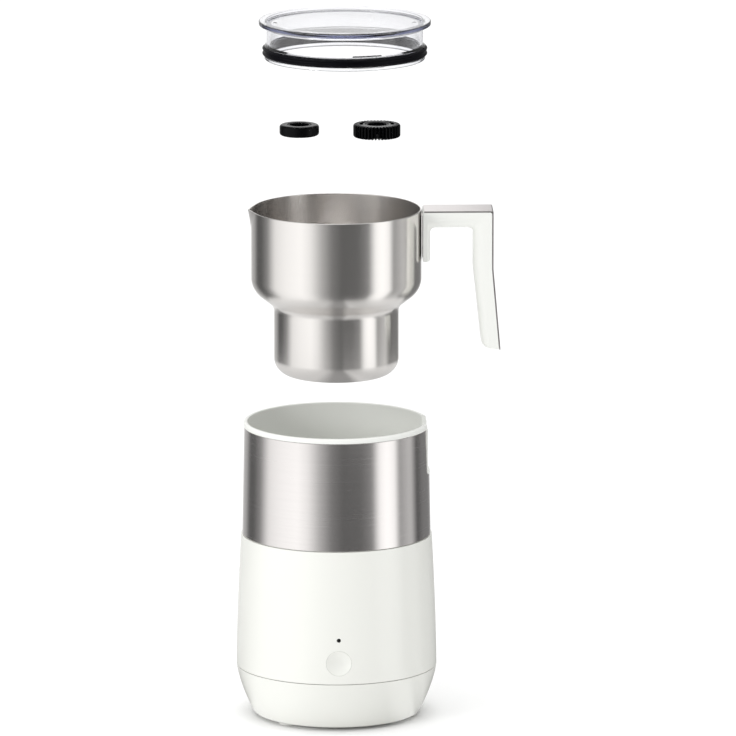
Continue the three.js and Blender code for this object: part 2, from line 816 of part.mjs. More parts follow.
// A clear cup turned upside down: a flat disc a little below the flange, and a skirt that is open below.
function lidDish() {
  const { height, flangeRadius, flangeThickness, skirtRadius, innerRadius, beadRadius, edge } = LID;
  const grooveRadius = GASKET.innerRadius - GAP;
  const grooveLow = GASKET.low - GAP;
  const grooveHigh = GASKET.high + GAP;
  const discTop = height - LID.dishDepth;
  const discUnder = discTop - LID.discThickness;
  const cup = turned([
    [0, discUnder],
    [innerRadius, discUnder],
    [innerRadius, 0],
    [beadRadius - edge, 0],
    [beadRadius, edge],
    [beadRadius, grooveLow],
    [grooveRadius, grooveLow],
    [grooveRadius, grooveHigh],
    [beadRadius, grooveHigh],
    [skirtRadius, grooveHigh + 1.3],
    [skirtRadius, height - flangeThickness],
    [flangeRadius, height - flangeThickness],
    [flangeRadius, height - edge],
    [flangeRadius - edge, height],
    [LID.dishRadius + 0.4, height],
    [LID.dishRadius, discTop],
    [0, discTop],
  ]);
  const vents = [-LID.ventX, LID.ventX].map((x) =>
    rod(LID.ventRadius, discUnder - 1, height + 1).translate(x, 0, 0));
  return cut(cup, ...vents);
}

function lidGasket() {
  const { low, high, innerRadius, coreRadius, lipRadius } = GASKET;
  return turnedRing([
    [innerRadius, low],
    [coreRadius, low],
    [lipRadius, low + 0.8],
    [lipRadius, low + 1.6],
    [coreRadius, low + 2.4],
    [coreRadius, high - 2.4],
    [lipRadius, high - 1.6],
    [lipRadius, high - 0.8],
    [coreRadius, high],
    [innerRadius, high],
  ]);
}

// ---------------------------------------------------------------------------------------------------
// The ring whisks, each in its own frame: zero is the middle of its underside
// ---------------------------------------------------------------------------------------------------

function magnetPockets({ magnetPlace, magnetRadius }) {
  return WHISK.magnetAngles.map((angle) =>
    placedAt(rod(magnetRadius + GAP, -1, WHISK.pocketDepth), magnetPlace, angle));
}

function ringMagnet({ magnetPlace, magnetRadius }, angle) {
  return placedAt(rod(magnetRadius, 0.4, WHISK.pocketDepth - GAP), magnetPlace, angle);
}

// A comb of upright fins round a core, rounded off above and below.
function frothRing() {
  const { radius, rootRadius, thickness, fins, finShare, crownWidth, crownHeight } = FROTH;
  const outline = [];
  for (let fin = 0; fin < fins; fin += 1) {
    const start = (fin * 2 * Math.PI) / fins;
    const width = (finShare * 2 * Math.PI) / fins;
    for (const [turn, reach] of [[0, rootRadius], [0, radius], [width, radius], [width, rootRadius]]) {
      outline.push(new THREE.Vector2(reach * Math.cos(start + turn), reach * Math.sin(start + turn)));
    }
  }
  const combOutline = new THREE.Shape(outline);
  const comb = new THREE.ExtrudeGeometry(combOutline, { depth: thickness, bevelEnabled: false });
  const envelope = turned(
    [
      [0, 0],
      [radius - crownWidth, 0],
      [radius, crownHeight],
      [radius, thickness - crownHeight],
      [radius - crownWidth, thickness],
      [0, thickness],
    ],
    fins,
  );
  const bore = rod(WHISK.ringBoreRadius, -1, thickness + 1, SMALL_SIDES);
  return cut(common(comb, envelope), bore, ...magnetPockets(FROTH), ...kidneySlots());
}

// Two blind slots in the top of the froth ring, each bent round the bore.
function kidneySlots() {
  const { innerRadius, outerRadius, halfSpan, depth, angles } = KIDNEY;
  return angles.map((middle) => {
    const shape = new THREE.Shape();
    shape.absarc(0, 0, outerRadius, radians(middle - halfSpan), radians(middle + halfSpan), false);
    shape.absarc(0, 0, innerRadius, radians(middle + halfSpan), radians(middle - halfSpan), true);
    const settings = { depth: depth + 1, bevelEnabled: false, curveSegments: 6 };
    const slot = new THREE.ExtrudeGeometry(shape, settings);
    return slot.translate(0, 0, FROTH.thickness - depth);
  });
}

function stirRing() {
  const { radius, thickness, edge } = STIR;
  const ring = turnedRing(
    [
      [WHISK.ringBoreRadius, 0],
      ...arc(radius - edge, edge, edge, -90, 0, 3),
      ...arc(radius - edge, thickness - edge, edge, 0, 90, 3),
      [WHISK.ringBoreRadius, thickness],
    ],
    SMALL_SIDES,
  );
  return cut(ring, ...magnetPockets(STIR));
}

function whiskBush(thickness) {
  return tube(WHISK.boreRadius, WHISK.bushOuterRadius, 0.2, thickness - 0.2);
}

// ---------------------------------------------------------------------------------------------------
// Assembly
// ---------------------------------------------------------------------------------------------------

function buildBase() {
  const base = new THREE.Group();
  addPiece(base, 'bottom_cover', bottomCover(), 'white');
  addPiece(base, 'upper_housing', upperHousing(), 'white');
  addPiece(base, 'steel_band', steelBand(), 'brushedSteel');
  addPiece(base, 'well_liner', wellLiner(), 'offWhite');
  addPiece(base, 'cord_gland', cordGland(), 'offWhite');
  FOOT.angles.forEach((angle, index) => addPiece(base, `foot_${index + 1}`, foot(angle), 'offWhite'));
  COVER_SCREW.angles.forEach((angle, index) =>
    addPiece(base, `cover_screw_${index + 1}`, coverScrew(angle), 'zincPlate'));
  addPiece(base, 'chassis_plate', chassisPlate(), 'darkPlastic');
  return base;
}

function buildDrive() {
  const drive = new THREE.Group();
  addPiece(drive, 'motor_can', motorCan(), 'zincPlate');
  addPiece(drive, 'motor_bracket', motorBracket(), 'zincPlate');
  MOTOR_SCREW.angles.forEach((angle, index) =>
    addPiece(drive, `motor_screw_${index + 1}`, motorScrew(angle), 'zincPlate'));
  const bearing = tube(BEARING.innerRadius, BEARING.outerRadius, BEARING.low, BEARING.high);
  addPiece(drive, 'shaft_bearing', bearing, 'magnet');
  addPiece(drive, 'motor_shaft', rod(MOTOR.shaftRadius, MOTOR.high - 4.5, ROTOR.high + 0.4), 'magnet');
  addPiece(drive, 'magnet_rotor', magnetRotor(), 'darkPlastic');
  ROTOR_MAGNET.angles.forEach((angle, index) => {
    const magnet = rod(ROTOR_MAGNET.radius, ROTOR.high + GAP, ROTOR_MAGNET.top);
    addPiece(drive, `rotor_magnet_${index + 1}`, placedAt(magnet, ROTOR_MAGNET.place, angle), 'magnet');
  });
  return drive;
}

function buildHeater() {
  const heater = new THREE.Group();
  const { coreRadius, outerRadius, low, high, flange } = COIL;
  const inset = flange + GAP;
  addPiece(heater, 'coil_former', coilFormer(), 'darkPlastic');
  addPiece(
    heater,
    'induction_coil',
    tube(coreRadius + GAP, outerRadius - 0.6, low + inset, high - inset),
    'copper',
  );
  addPiece(
    heater,
    'ferrite_sleeve',
    tube(outerRadius + GAP, outerRadius + 0.9, low, high),
    'ferrite',
  );
  addPiece(heater, 'thermal_sensor', thermalSensor(), 'zincPlate');
  return heater;
}

function buildElectronics() {
  const electronics = new THREE.Group();
  const { low, thickness, length, width } = POWER_BOARD;
  const board = box([-length / 2, -width / 2, low], [length / 2, width / 2, low + thickness]);
  const partsLow = low + thickness + GAP;
  const capacitor = rod(CAPACITOR.radius, partsLow, CAPACITOR.top).translate(CAPACITOR.x, CAPACITOR.y, 0);
  const transformer = box([...TRANSFORMER.low, partsLow], [...TRANSFORMER.high, TRANSFORMER.top]);
  addPiece(electronics, 'power_board', board, 'circuitGreen');
  addPiece(electronics, 'supply_capacitor', capacitor, 'darkPlastic');
  addPiece(electronics, 'supply_transformer', transformer, 'ferrite');
  addPiece(electronics, 'control_board', controlBoard(), 'circuitGreen');
  addPiece(electronics, 'tact_switch', tactSwitch(), 'darkPlastic');
  addPiece(electronics, 'status_lamp', lampOnBoard(), 'lampAmber');
  addPiece(electronics, 'light_pipe', lightPipe(), 'lampAmber');
  addPiece(electronics, 'start_button', startButton(), 'white');
  return electronics;
}

function buildJug() {
  const jug = new THREE.Group();
  jug.position.set(0, 0, JUG.restHeight);
  addPiece(jug, 'jug_body', jugBody(), 'polishedSteel');
  addPiece(jug, 'whisk_spindle', whiskSpindle(), 'polishedSteel');
  addPiece(jug, 'handle_body', handleBody(), 'offWhite');
  addPiece(jug, 'handle_strip', handleStrip(), 'brushedSteel');
  addPiece(jug, 'handle_bracket', handleBracket(), 'brushedSteel');
  HANDLE_SCREW.heights.forEach((height, index) =>
    addPiece(jug, `handle_screw_${index + 1}`, handleScrew(height), 'zincPlate'));
  return jug;
}

function buildLid() {
  const lid = new THREE.Group();
  lid.position.set(LID.aside, 0, LID.restHeight);
  addPiece(lid, 'lid_dish', lidDish(), 'clear');
  addPiece(lid, 'lid_gasket', lidGasket(), 'gasketBlack');
  return lid;
}

function buildWhisk(prefix, ring, sizes) {
  const whisk = new THREE.Group();
  whisk.position.set(...sizes.place);
  addPiece(whisk, `${prefix}_ring`, ring, 'whiskBlack');
  addPiece(whisk, `${prefix}_bush`, whiskBush(sizes.thickness), 'whiskBlack');
  WHISK.magnetAngles.forEach((angle, index) =>
    addPiece(whisk, `${prefix}_magnet_${index + 1}`, ringMagnet(sizes, angle), 'magnet'));
  return whisk;
}

const frother = new THREE.Group();
frother.add(
  buildBase(),
  buildDrive(),
  buildHeater(),
  buildElectronics(),
  buildJug(),
  buildLid(),
  buildWhisk('froth_whisk', frothRing(), FROTH),
  buildWhisk('stir_whisk', stirRing(), STIR),
);

export default frother;
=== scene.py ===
import json
import math

import bmesh
import bpy
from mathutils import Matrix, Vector


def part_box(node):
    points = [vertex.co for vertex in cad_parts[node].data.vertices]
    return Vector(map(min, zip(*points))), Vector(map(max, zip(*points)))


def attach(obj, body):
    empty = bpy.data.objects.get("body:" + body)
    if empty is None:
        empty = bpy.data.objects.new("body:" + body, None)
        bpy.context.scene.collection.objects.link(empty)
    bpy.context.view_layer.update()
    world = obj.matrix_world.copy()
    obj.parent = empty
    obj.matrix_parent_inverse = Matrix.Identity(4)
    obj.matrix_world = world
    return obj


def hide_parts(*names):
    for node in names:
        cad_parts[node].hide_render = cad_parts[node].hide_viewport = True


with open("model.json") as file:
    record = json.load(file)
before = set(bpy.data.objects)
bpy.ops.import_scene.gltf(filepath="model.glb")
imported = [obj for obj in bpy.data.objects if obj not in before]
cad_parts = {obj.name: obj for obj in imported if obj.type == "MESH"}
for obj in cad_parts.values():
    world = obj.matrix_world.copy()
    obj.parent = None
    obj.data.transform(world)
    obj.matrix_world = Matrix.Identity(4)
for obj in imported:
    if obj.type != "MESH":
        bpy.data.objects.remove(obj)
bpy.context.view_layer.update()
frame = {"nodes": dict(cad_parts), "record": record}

# Shapes are drawn in millimetres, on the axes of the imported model: +X to the handle, -Y to the button.
MM = 0.001
GAP = 0.3

# ---- Driving dimensions, in millimetres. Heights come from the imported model's own nodes. ----


def span(node):
    """A CAD node's lowest and highest corner, in millimetres."""
    low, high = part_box(node)
    return low / MM, high / MM


def middle(node):
    """The middle of a CAD node's box, in millimetres."""
    return [(a + b) / 2 for a, b in zip(*span(node))]


COVER = {"flat": 50.71, "corner": 2.0, "start": (52.5, 1.1), "pull": (60.5, 17.0), "belly": 62.5}
COVER["top"] = span("bottom_cover")[1].z
# Stepped holes in the bottom cover: the recess's radius and depth, and the through hole's radius.
COVER_HOLES = {"cover_screw": (3.4, 1.2, 1.7), "foot": (6.3, 0.5, 2.3)}
CORD_ROD = 6.2
HOUSING = {
    "low": COVER["top"] + 0.35,
    "belly": 62.5,
    "belly_height": 60.0,
    "shoulder": 59.6,
    "top": span("steel_band")[0].z - 0.4,
    "wall": 2.4,
    "tongue": (57.4, 59.0, 3.8),
    "collar": (56.8, 57.8, 8.0),
}
BAND = {"low_radius": 58.8, "top_radius": 57.5, "sheet": 0.6}
BAND["low"], BAND["top"] = span("steel_band")[0].z, span("steel_band")[1].z
WELL = {
    "under": span("well_liner")[0].z,
    "floor": span("well_liner")[0].z + 1.6,
    "rim": span("well_liner")[1].z,
    "cone_low": 119.0,
    "cone_top": 137.0,
    "pocket": 40.8,
    "pocket_wall": 1.5,
    "collar": 55.3,
    "collar_outer": 56.5,
    "rim_outer": 57.8,
    "lip": 1.2,
}
NOTCH = {"half_width": 13.35, "depth": 31.0, "frame": 1.3, "outer": 58.2, "round": 2.0}
BUTTON = {"radius": 7.86, "face": 62.4, "edge": 0.12, "depth": 2.2, "power": 2.0}
# Stem and collar: the radius, and where each starts and ends in front of the axis.
BUTTON |= {"back": 57.9, "stem": (2.5, 53.8, 58.5), "collar": (9.06, 57.8, 58.8)}
BUTTON["height"] = middle("start_button")[2]
LAMP = {"radius": 1.22, "hole": 1.3, "face": 61.9, "dome": 1.6}
LAMP["height"] = middle("light_pipe")[2]
JUG = {
    "low": span("jug_body")[0].z,
    "height": span("jug_body")[1].z - span("jug_body")[0].z,
    "upper": 52.95,
    "lower": 38.85,
    "sheet": 0.9,
    "bottom_round": 11.0,
    "shoulder_round": 14.0,
    "neck_round": 6.5,
    "shoulder_turn": 52.0,
    "neck_height": 40.3,
}
SPOUT = {"reach": 2.0, "drop": 14.0, "half_angle": 15.5}
HANDLE = {
    "half_width": 11.5,
    "root": 53.6,
    "arm": 11.3,
    "outer": 97.3,
    "inner": 84.8,
    "kink": 36.6,
    "drop": 87.6,
    "end_outer": 101.8,
    "end_inner": 90.2,
    "end_round": 4.0,
    "block": 58.0,
    "block_drop": 32.0,
    "corner": 3.2,
    "strip": 0.8,
    "bevel_depth": 6.6,
    "bevel_width": 6.0,
    "block_bevel": 1.9,
}
LID = {
    "aside": middle("lid_dish")[0],
    "low": span("lid_dish")[0].z,
    "height": span("lid_dish")[1].z - span("lid_dish")[0].z,
    "flange": 53.3,
    "flange_thickness": 2.8,
    "skirt": 48.5,
    "inner": 46.6,
    "dish": 48.0,
    "dish_depth": 1.6,
    "disc": 2.5,
    "bead": 49.8,
    "groove": 48.0,
    "groove_low": 2.0,
    "groove_high": 8.1,
    "vent_x": 43.0,
    "vent": 1.2,
}
GASKET = {"low": 2.3, "high": 7.8, "inner": 48.3, "core": 49.9, "lip": 51.0}
FROTH = {"radius": 14.7, "root": 12.6, "bore": 7.35, "fins": 40, "crown": 1.3, "share": 0.5}
# The gaps between the fins get deeper toward both faces, over a height of slope.
FROTH |= {"flank": 0.07, "slope": 2.2, "slope_low": 3.0, "slope_high": 1.2}
FROTH["thickness"] = span("froth_whisk_ring")[1].z - span("froth_whisk_ring")[0].z
STIR = {"radius": 12.25, "bore": 7.35, "edge": 1.7}
KIDNEY = {"inner": 8.6, "outer": 11.0, "half_span": 30, "depth": 2.4, "angles": (160, 20)}
BUSH = {"bore": 6.15, "outer": 7.0}
# Stem and slot are shares of the head's radius, and the thread's root is a share of the stem's.
SCREW = {"head_depth": 1.0, "stem": 0.46, "pitch": 0.9, "thread_root": 0.82, "slot": 0.55, "slot_half": 0.3}

# ---- Outline helpers: every point is (radius, height) or (x, z) ----


def arc(centre, round_, start, end, steps=8):
    """Points on a round corner, both ends included; angles are degrees from outward."""
    points = []
    for step in range(steps + 1):
        angle = math.radians(start + (end - start) * step / steps)
        points.append((centre[0] + round_ * math.cos(angle), centre[1] + round_ * math.sin(angle)))
    return points


def bow(start, pull, end, steps=24):
    """Points on a curve from start to end that leans toward pull."""
    points = []
    for step in range(steps + 1):
        t = step / steps
        weights = ((1 - t) ** 2, 2 * t * (1 - t), t**2)
        points.append(tuple(sum(w * p[k] for w, p in zip(weights, (start, pull, end))) for k in (0, 1)))
    return points


def softened(points, round_, steps=4):
    """A closed outline with every corner rounded off by the same small radius."""
    result = []
    for index, corner in enumerate(points):
        here = Vector(corner)
        before = Vector(points[index - 1]) - here
        after = Vector(points[(index + 1) % len(points)]) - here
        reach = min(round_, before.length * 0.45, after.length * 0.45)
        start = here + before.normalized() * reach
        end = here + after.normalized() * reach
        result += bow(tuple(start), corner, tuple(end), steps)
    return result


# ---- Mesh helpers ----

SHARP_ANGLE = math.radians(35)


def piece_from(name, vertices, faces):
    """A mesh object from points in millimetres, with its faces pointing out."""
    mesh = bpy.data.meshes.new(name)
    mesh.from_pydata([Vector(v) * MM for v in vertices], [], faces)
    work = bmesh.new()
    work.from_mesh(mesh)
    bmesh.ops.remove_doubles(work, verts=work.verts, dist=1e-7)
    bmesh.ops.recalc_face_normals(work, faces=work.faces)
    work.to_mesh(mesh)
    work.free()
    piece = bpy.data.objects.new(name, mesh)
    bpy.context.scene.collection.objects.link(piece)
    return piece


def smooth(piece, angle=SHARP_ANGLE):
    """Smooth shading with crisp edges, weighted so that flat faces stay flat."""
    piece.data.shade_smooth()
    piece.data.set_sharp_from_angle(angle=angle)
    weighted = piece.modifiers.new("weighted", "WEIGHTED_NORMAL")
    weighted.keep_sharp = True
    return piece


def turned(name, profile, sides=192, closed=False, shift=None):
    """Turns a profile about the upright axis. shift(radius, height, angle) may give a new radius."""
    vertices = []
    rings = []
    for radius, height in profile:
        if radius < 1e-6:
            rings.append([len(vertices)] * sides)
            vertices.append((0, 0, height))
            continue
        ring = []
        for side in range(sides):
            angle = 2 * math.pi * side / sides
            reach = shift(radius, height, angle) if shift else radius
            ring.append(len(vertices))
            vertices.append((reach * math.cos(angle), reach * math.sin(angle), height))
        rings.append(ring)
    if closed:
        rings.append(rings[0])
    faces = []
    for lower, upper in zip(rings, rings[1:]):
        for side in range(sides):
            after = (side + 1) % sides
            corners = [lower[side], lower[after], upper[after], upper[side]]
            faces.append(list(dict.fromkeys(corners)))
    return piece_from(name, vertices, faces)


def side_faces(levels, sides):
    """Quads between each level of points and the next."""
    faces = []
    for level in range(levels - 1):
        base, top = level * sides, (level + 1) * sides
        for side in range(sides):
            after = (side + 1) % sides
            faces.append([base + side, base + after, top + after, top + side])
    return faces


def lofted(name, layers):
    """Joins matching outlines [(x, y, z), ...] one after another and closes both ends."""
    count = len(layers[0])
    vertices = [point for layer in layers for point in layer]
    faces = [list(range(count))[::-1], *side_faces(len(layers), count)]
    faces.append([(len(layers) - 1) * count + index for index in range(count)])
    return piece_from(name, vertices, faces)


def prism(name, outline, low, high):
    """An outline of (x, y) points made upright and solid between two heights."""
    return lofted(name, [[(x, y, z) for x, y in outline] for z in (low, high)])


def block(name, low, high):
    outline = [(low[0], low[1]), (high[0], low[1]), (high[0], high[1]), (low[0], high[1])]
    return prism(name, outline, low[2], high[2])


def bake(piece):
    """Makes the modifiers' result the piece's own mesh."""
    shown = piece.evaluated_get(bpy.context.evaluated_depsgraph_get())
    mesh = bpy.data.meshes.new_from_object(shown)
    piece.modifiers.clear()
    piece.data = mesh
    mesh.name = piece.name
    return piece


def combine(piece, operation, *tools):
    for tool in tools:
        modifier = piece.modifiers.new(operation, "BOOLEAN")
        modifier.operation = operation
        modifier.solver = "EXACT"
        modifier.object = tool
    bake(piece)
    for tool in tools:
        bpy.data.objects.remove(tool)
    return piece


def cut(piece, *tools):
    return combine(piece, "DIFFERENCE", *tools)


def bevel(piece, width, segments=3, angle=35):
    """Rounds the sharp edges of a piece."""
    modifier = piece.modifiers.new("bevel", "BEVEL")
    modifier.width = width * MM
    modifier.segments = segments
    modifier.limit_method = "ANGLE"
    modifier.angle_limit = math.radians(angle)
    modifier.use_clamp_overlap = True
    return bake(piece)


def raised(piece, x=0.0, y=0.0, z=0.0):
    """Moves a piece's mesh, in millimetres."""
    for vertex in piece.data.vertices:
        vertex.co += Vector((x, y, z)) * MM
    return piece


def laid(piece, turn):
    """Lays an upright mesh down; turn(x, y, z) gives a point's new place."""
    for vertex in piece.data.vertices:
        vertex.co = turn(*vertex.co)
    return piece


def laid_to_front(piece):
    return laid(piece, lambda x, y, z: (x, -z, y))


def laid_to_back(piece):
    return laid(piece, lambda x, y, z: (x, z, -y))


def laid_to_handle(piece):
    return laid(piece, lambda x, y, z: (z, y, -x))


def around(radius, degrees):
    angle = math.radians(degrees)
    return radius * math.cos(angle), radius * math.sin(angle)


def rod(name, radius, low, high, sides=48):
    return turned(name, [(0, low), (radius, low), (radius, high), (0, high)], sides)


# ---- Material helpers ----


class Finish:
    """A material with a Principled shader and procedural detail in the piece's own space."""

    def __init__(self, name, colour, roughness, metallic=0.0, **sockets):
        self.material = bpy.data.materials.new(name)
        self.material.use_nodes = True
        self.nodes = self.material.node_tree.nodes
        self.links = self.material.node_tree.links
        self.shader = self.nodes["Principled BSDF"]
        self.colour = colour
        self.shader.inputs["Base Color"].default_value = (*colour, 1.0)
        self.shader.inputs["Roughness"].default_value = roughness
        self.shader.inputs["Metallic"].default_value = metallic
        for socket, value in sockets.items():
            self.shader.inputs[socket.replace("_", " ")].default_value = value
        self.space = self.nodes.new("ShaderNodeTexCoord").outputs["Object"]

    def maths(self, operation, *values):
        node = self.nodes.new("ShaderNodeMath")
        node.operation = operation
        for socket, value in zip(node.inputs, values):
            if isinstance(value, (int, float)):
                socket.default_value = value
            else:
                self.links.new(value, socket)
        return node.outputs[0]

    def noise(self, stretch, detail=3.0, space=None):
        """Noise, with so many blotches to a metre: one number, or one for each axis."""
        mapping = self.nodes.new("ShaderNodeMapping")
        mapping.inputs["Scale"].default_value = stretch if isinstance(stretch, tuple) else (stretch,) * 3
        self.links.new(space or self.space, mapping.inputs["Vector"])
        texture = self.nodes.new("ShaderNodeTexNoise")
        texture.inputs["Scale"].default_value = 1.0
        texture.inputs["Detail"].default_value = detail
        self.links.new(mapping.outputs["Vector"], texture.inputs["Vector"])
        return texture.outputs["Fac"]

    def round_space(self):
        """Space whose third axis grows with height and with radius, for marks that run round the axis."""
        split = self.nodes.new("ShaderNodeSeparateXYZ")
        self.links.new(self.space, split.inputs[0])
        x, y, z = split.outputs
        squares = self.maths("ADD", self.maths("MULTIPLY", x, x), self.maths("MULTIPLY", y, y))
        join = self.nodes.new("ShaderNodeCombineXYZ")
        self.links.new(x, join.inputs[0])
        self.links.new(y, join.inputs[1])
        self.links.new(self.maths("ADD", z, self.maths("SQRT", squares)), join.inputs[2])
        return join.outputs[0]

    def remap(self, factor, low, high, from_low=0.3, from_high=0.7):
        node = self.nodes.new("ShaderNodeMapRange")
        self.links.new(factor, node.inputs["Value"])
        node.inputs["From Min"].default_value = from_low
        node.inputs["From Max"].default_value = from_high
        node.inputs["To Min"].default_value = low
        node.inputs["To Max"].default_value = high
        return node.outputs["Result"]

    def vary_roughness(self, factor, low, high):
        self.links.new(self.remap(factor, low, high), self.shader.inputs["Roughness"])
        return self

    def vary_colour(self, factor, change):
        """Darkens and lightens the base colour by a share of itself."""
        node = self.nodes.new("ShaderNodeMix")
        node.data_type = "RGBA"
        socket = {s.identifier: s for s in node.inputs}
        socket["A_Color"].default_value = (*(c * (1 - change) for c in self.colour), 1.0)
        socket["B_Color"].default_value = (*(min(1.0, c * (1 + change)) for c in self.colour), 1.0)
        self.links.new(self.remap(factor, 0.0, 1.0), socket["Factor_Float"])
        result = next(s for s in node.outputs if s.identifier == "Result_Color")
        self.links.new(result, self.shader.inputs["Base Color"])
        return self

    def vary_height(self, factor, depth):
        """Raises and lowers the surface by so many millimetres."""
        node = self.nodes.new("ShaderNodeBump")
        node.inputs["Strength"].default_value = 1.0
        node.inputs["Distance"].default_value = depth * MM
        self.links.new(factor, node.inputs["Height"])
        self.links.new(node.outputs["Normal"], self.shader.inputs["Normal"])
        return self

    def speckled(self, tint, gloss, grain):
        """Varies colour, roughness and height. Each is (noise to a metre, noise detail, *amounts)."""
        varied = zip((self.vary_colour, self.vary_roughness, self.vary_height), (tint, gloss, grain))
        for vary, (stretch, detail, *amounts) in varied:
            vary(self.noise(stretch, detail), *amounts)
        return self.material


def white_shell():
    """Glossy white moulding with the faintest waviness."""
    finish = Finish("gloss white moulding", (0.865, 0.87, 0.825), 0.22, Specular_IOR_Level=0.7)
    return finish.speckled((14, 3, 0.006), (90, 4, 0.17, 0.26), (160, 2, 0.004))


def white_trim():
    """Satin white moulding with a fine spark-eroded grain."""
    finish = Finish("satin white moulding", (0.875, 0.885, 0.85), 0.36, Specular_IOR_Level=0.4)
    return finish.speckled((20, 3, 0.01), (500, 3, 0.3, 0.44), (2600, 2, 0.006))


def foot_rubber():
    finish = Finish("pale rubber", (0.72, 0.72, 0.69), 0.7)
    return finish.speckled((300, 3, 0.04), (700, 3, 0.62, 0.8), (3000, 3, 0.02))


def round_brushed(name, colour, roughness, spread, streak, scratch):
    """Steel brushed round the axis: fine streaks a hand long and a hair high, and a few deeper ones."""
    finish = Finish(name, colour, roughness, 1.0, Anisotropic=0.95, Anisotropic_Rotation=0.25)
    tangent = finish.nodes.new("ShaderNodeTangent")
    tangent.direction_type = "RADIAL"
    tangent.axis = "Z"
    finish.links.new(tangent.outputs[0], finish.shader.inputs["Tangent"])
    space = finish.round_space()
    hair = finish.noise((28, 28, 5200), 4, space)
    band = finish.noise((9, 9, 900), 2, space)
    both = finish.maths("ADD", finish.maths("MULTIPLY", hair, 0.6), finish.maths("MULTIPLY", band, 0.4))
    finish.vary_colour(both, streak)
    finish.vary_roughness(both, roughness - spread, roughness + spread)
    return finish.vary_height(hair, scratch).material


def brushed_band():
    return round_brushed("steel brushed round", (0.83, 0.8, 0.785), 0.25, 0.03, 0.025, 0.00015)


def jug_steel():
    return round_brushed("satin steel", (0.83, 0.805, 0.78), 0.24, 0.02, 0.015, 0.0001)


def strip_steel():
    """Steel brushed along the handle."""
    finish = Finish("steel brushed along", (0.82, 0.785, 0.775), 0.3, 1.0)
    hair = finish.noise((30, 5000, 30), 4)
    finish.vary_colour(hair, 0.08)
    finish.vary_roughness(hair, 0.28, 0.4)
    return finish.vary_height(hair, 0.001).material


def clear_plastic():
    optics = {"Transmission_Weight": 1.0, "IOR": 1.47, "Specular_IOR_Level": 0.5}
    finish = Finish("clear plastic", (0.99, 0.99, 0.995), 0.02, **optics)
    finish.vary_roughness(finish.noise(60), 0.0, 0.035)
    tint = finish.nodes.new("ShaderNodeVolumeAbsorption")
    tint.inputs["Color"].default_value = (0.7, 0.72, 0.84, 1.0)
    tint.inputs["Density"].default_value = 38.0
    finish.links.new(tint.outputs["Volume"], finish.nodes["Material Output"].inputs["Volume"])
    return finish.vary_height(finish.noise(35, 1), 0.01).material


def gasket_rubber():
    finish = Finish("black silicone", (0.003, 0.003, 0.005), 0.4, Specular_IOR_Level=0.1)
    return finish.speckled((200, 3, 0.2), ((600, 600, 900), 3, 0.34, 0.52), (2500, 3, 0.008))


def whisk_plastic():
    finish = Finish("gloss black moulding", (0.0025, 0.0025, 0.003), 0.24, Specular_IOR_Level=0.08)
    return finish.speckled((250, 3, 0.2), (900, 3, 0.18, 0.34), (500, 3, 0.002))


def plated_steel():
    finish = Finish("zinc plate", (0.66, 0.665, 0.67), 0.3, 1.0)
    return finish.speckled((400, 4, 0.08), (900, 3, 0.22, 0.42), (3000, 3, 0.006))


def dark_plastic():
    finish = Finish("matt dark moulding", (0.035, 0.036, 0.04), 0.5)
    return finish.speckled((150, 3, 0.15), (800, 3, 0.42, 0.6), (3500, 3, 0.02))


def coil_copper():
    """Enamelled wire: close turns, one above the other."""
    finish = Finish("enamelled copper", (0.55, 0.23, 0.1), 0.32, 1.0)
    wave = finish.nodes.new("ShaderNodeTexWave")
    wave.bands_direction = "Z"
    wave.inputs["Scale"].default_value = 320.0
    finish.links.new(finish.space, wave.inputs["Vector"])
    finish.vary_colour(finish.noise((60, 60, 1200)), 0.12)
    finish.vary_roughness(finish.noise(500), 0.26, 0.4)
    return finish.vary_height(wave.outputs["Fac"], 0.2).material


def ferrite():
    finish = Finish("sintered ferrite", (0.045, 0.045, 0.05), 0.75)
    return finish.speckled((900, 3, 0.25), (1200, 3, 0.65, 0.85), (2500, 4, 0.05))


def circuit_board():
    """Green resist over copper tracks."""
    finish = Finish("solder resist", (0.02, 0.13, 0.06), 0.4)
    tracks = finish.nodes.new("ShaderNodeTexVoronoi")
    tracks.distance = "MANHATTAN"
    tracks.inputs["Scale"].default_value = 260.0
    finish.links.new(finish.space, tracks.inputs["Vector"])
    finish.vary_colour(tracks.outputs["Distance"], 0.35)
    finish.vary_roughness(finish.noise(600), 0.32, 0.5)
    return finish.vary_height(tracks.outputs["Distance"], 0.03).material


def lamp_lens():
    finish = Finish("smoked lens", (0.006, 0.006, 0.006), 0.25)
    return finish.speckled((900, 3, 0.2), (900, 3, 0.2, 0.34), (1500, 3, 0.004))


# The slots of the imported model, each filled by the function of the same name.
SLOT_FINISHES = (
    white_shell,
    white_trim,
    foot_rubber,
    brushed_band,
    jug_steel,
    clear_plastic,
    gasket_rubber,
    whisk_plastic,
    plated_steel,
    dark_plastic,
    coil_copper,
    ferrite,
    circuit_board,
    lamp_lens,
)
FINISHES = {make.__name__: make() for make in SLOT_FINISHES}


def dress_cad_nodes():
    """Gives every carried-over CAD node the finish of its slot."""
    for subpart in frame["record"]["subparts"]:
        materials = frame["nodes"][subpart["node"]].data.materials
        materials.clear()
        materials.append(FINISHES[subpart["material_slot"]])


def placed(piece, body, slot, *nodes, material=None):
    """Finishes a piece: gives it its material (from its slot unless one is given), hangs it on the body it
    rides on, and hides the CAD nodes it stands for.
    """
    piece.data.materials.clear()
    piece.data.materials.append(material or FINISHES[slot])
    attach(piece, body)
    if nodes:
        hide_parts(*nodes)
    return piece


# ---- The base ----


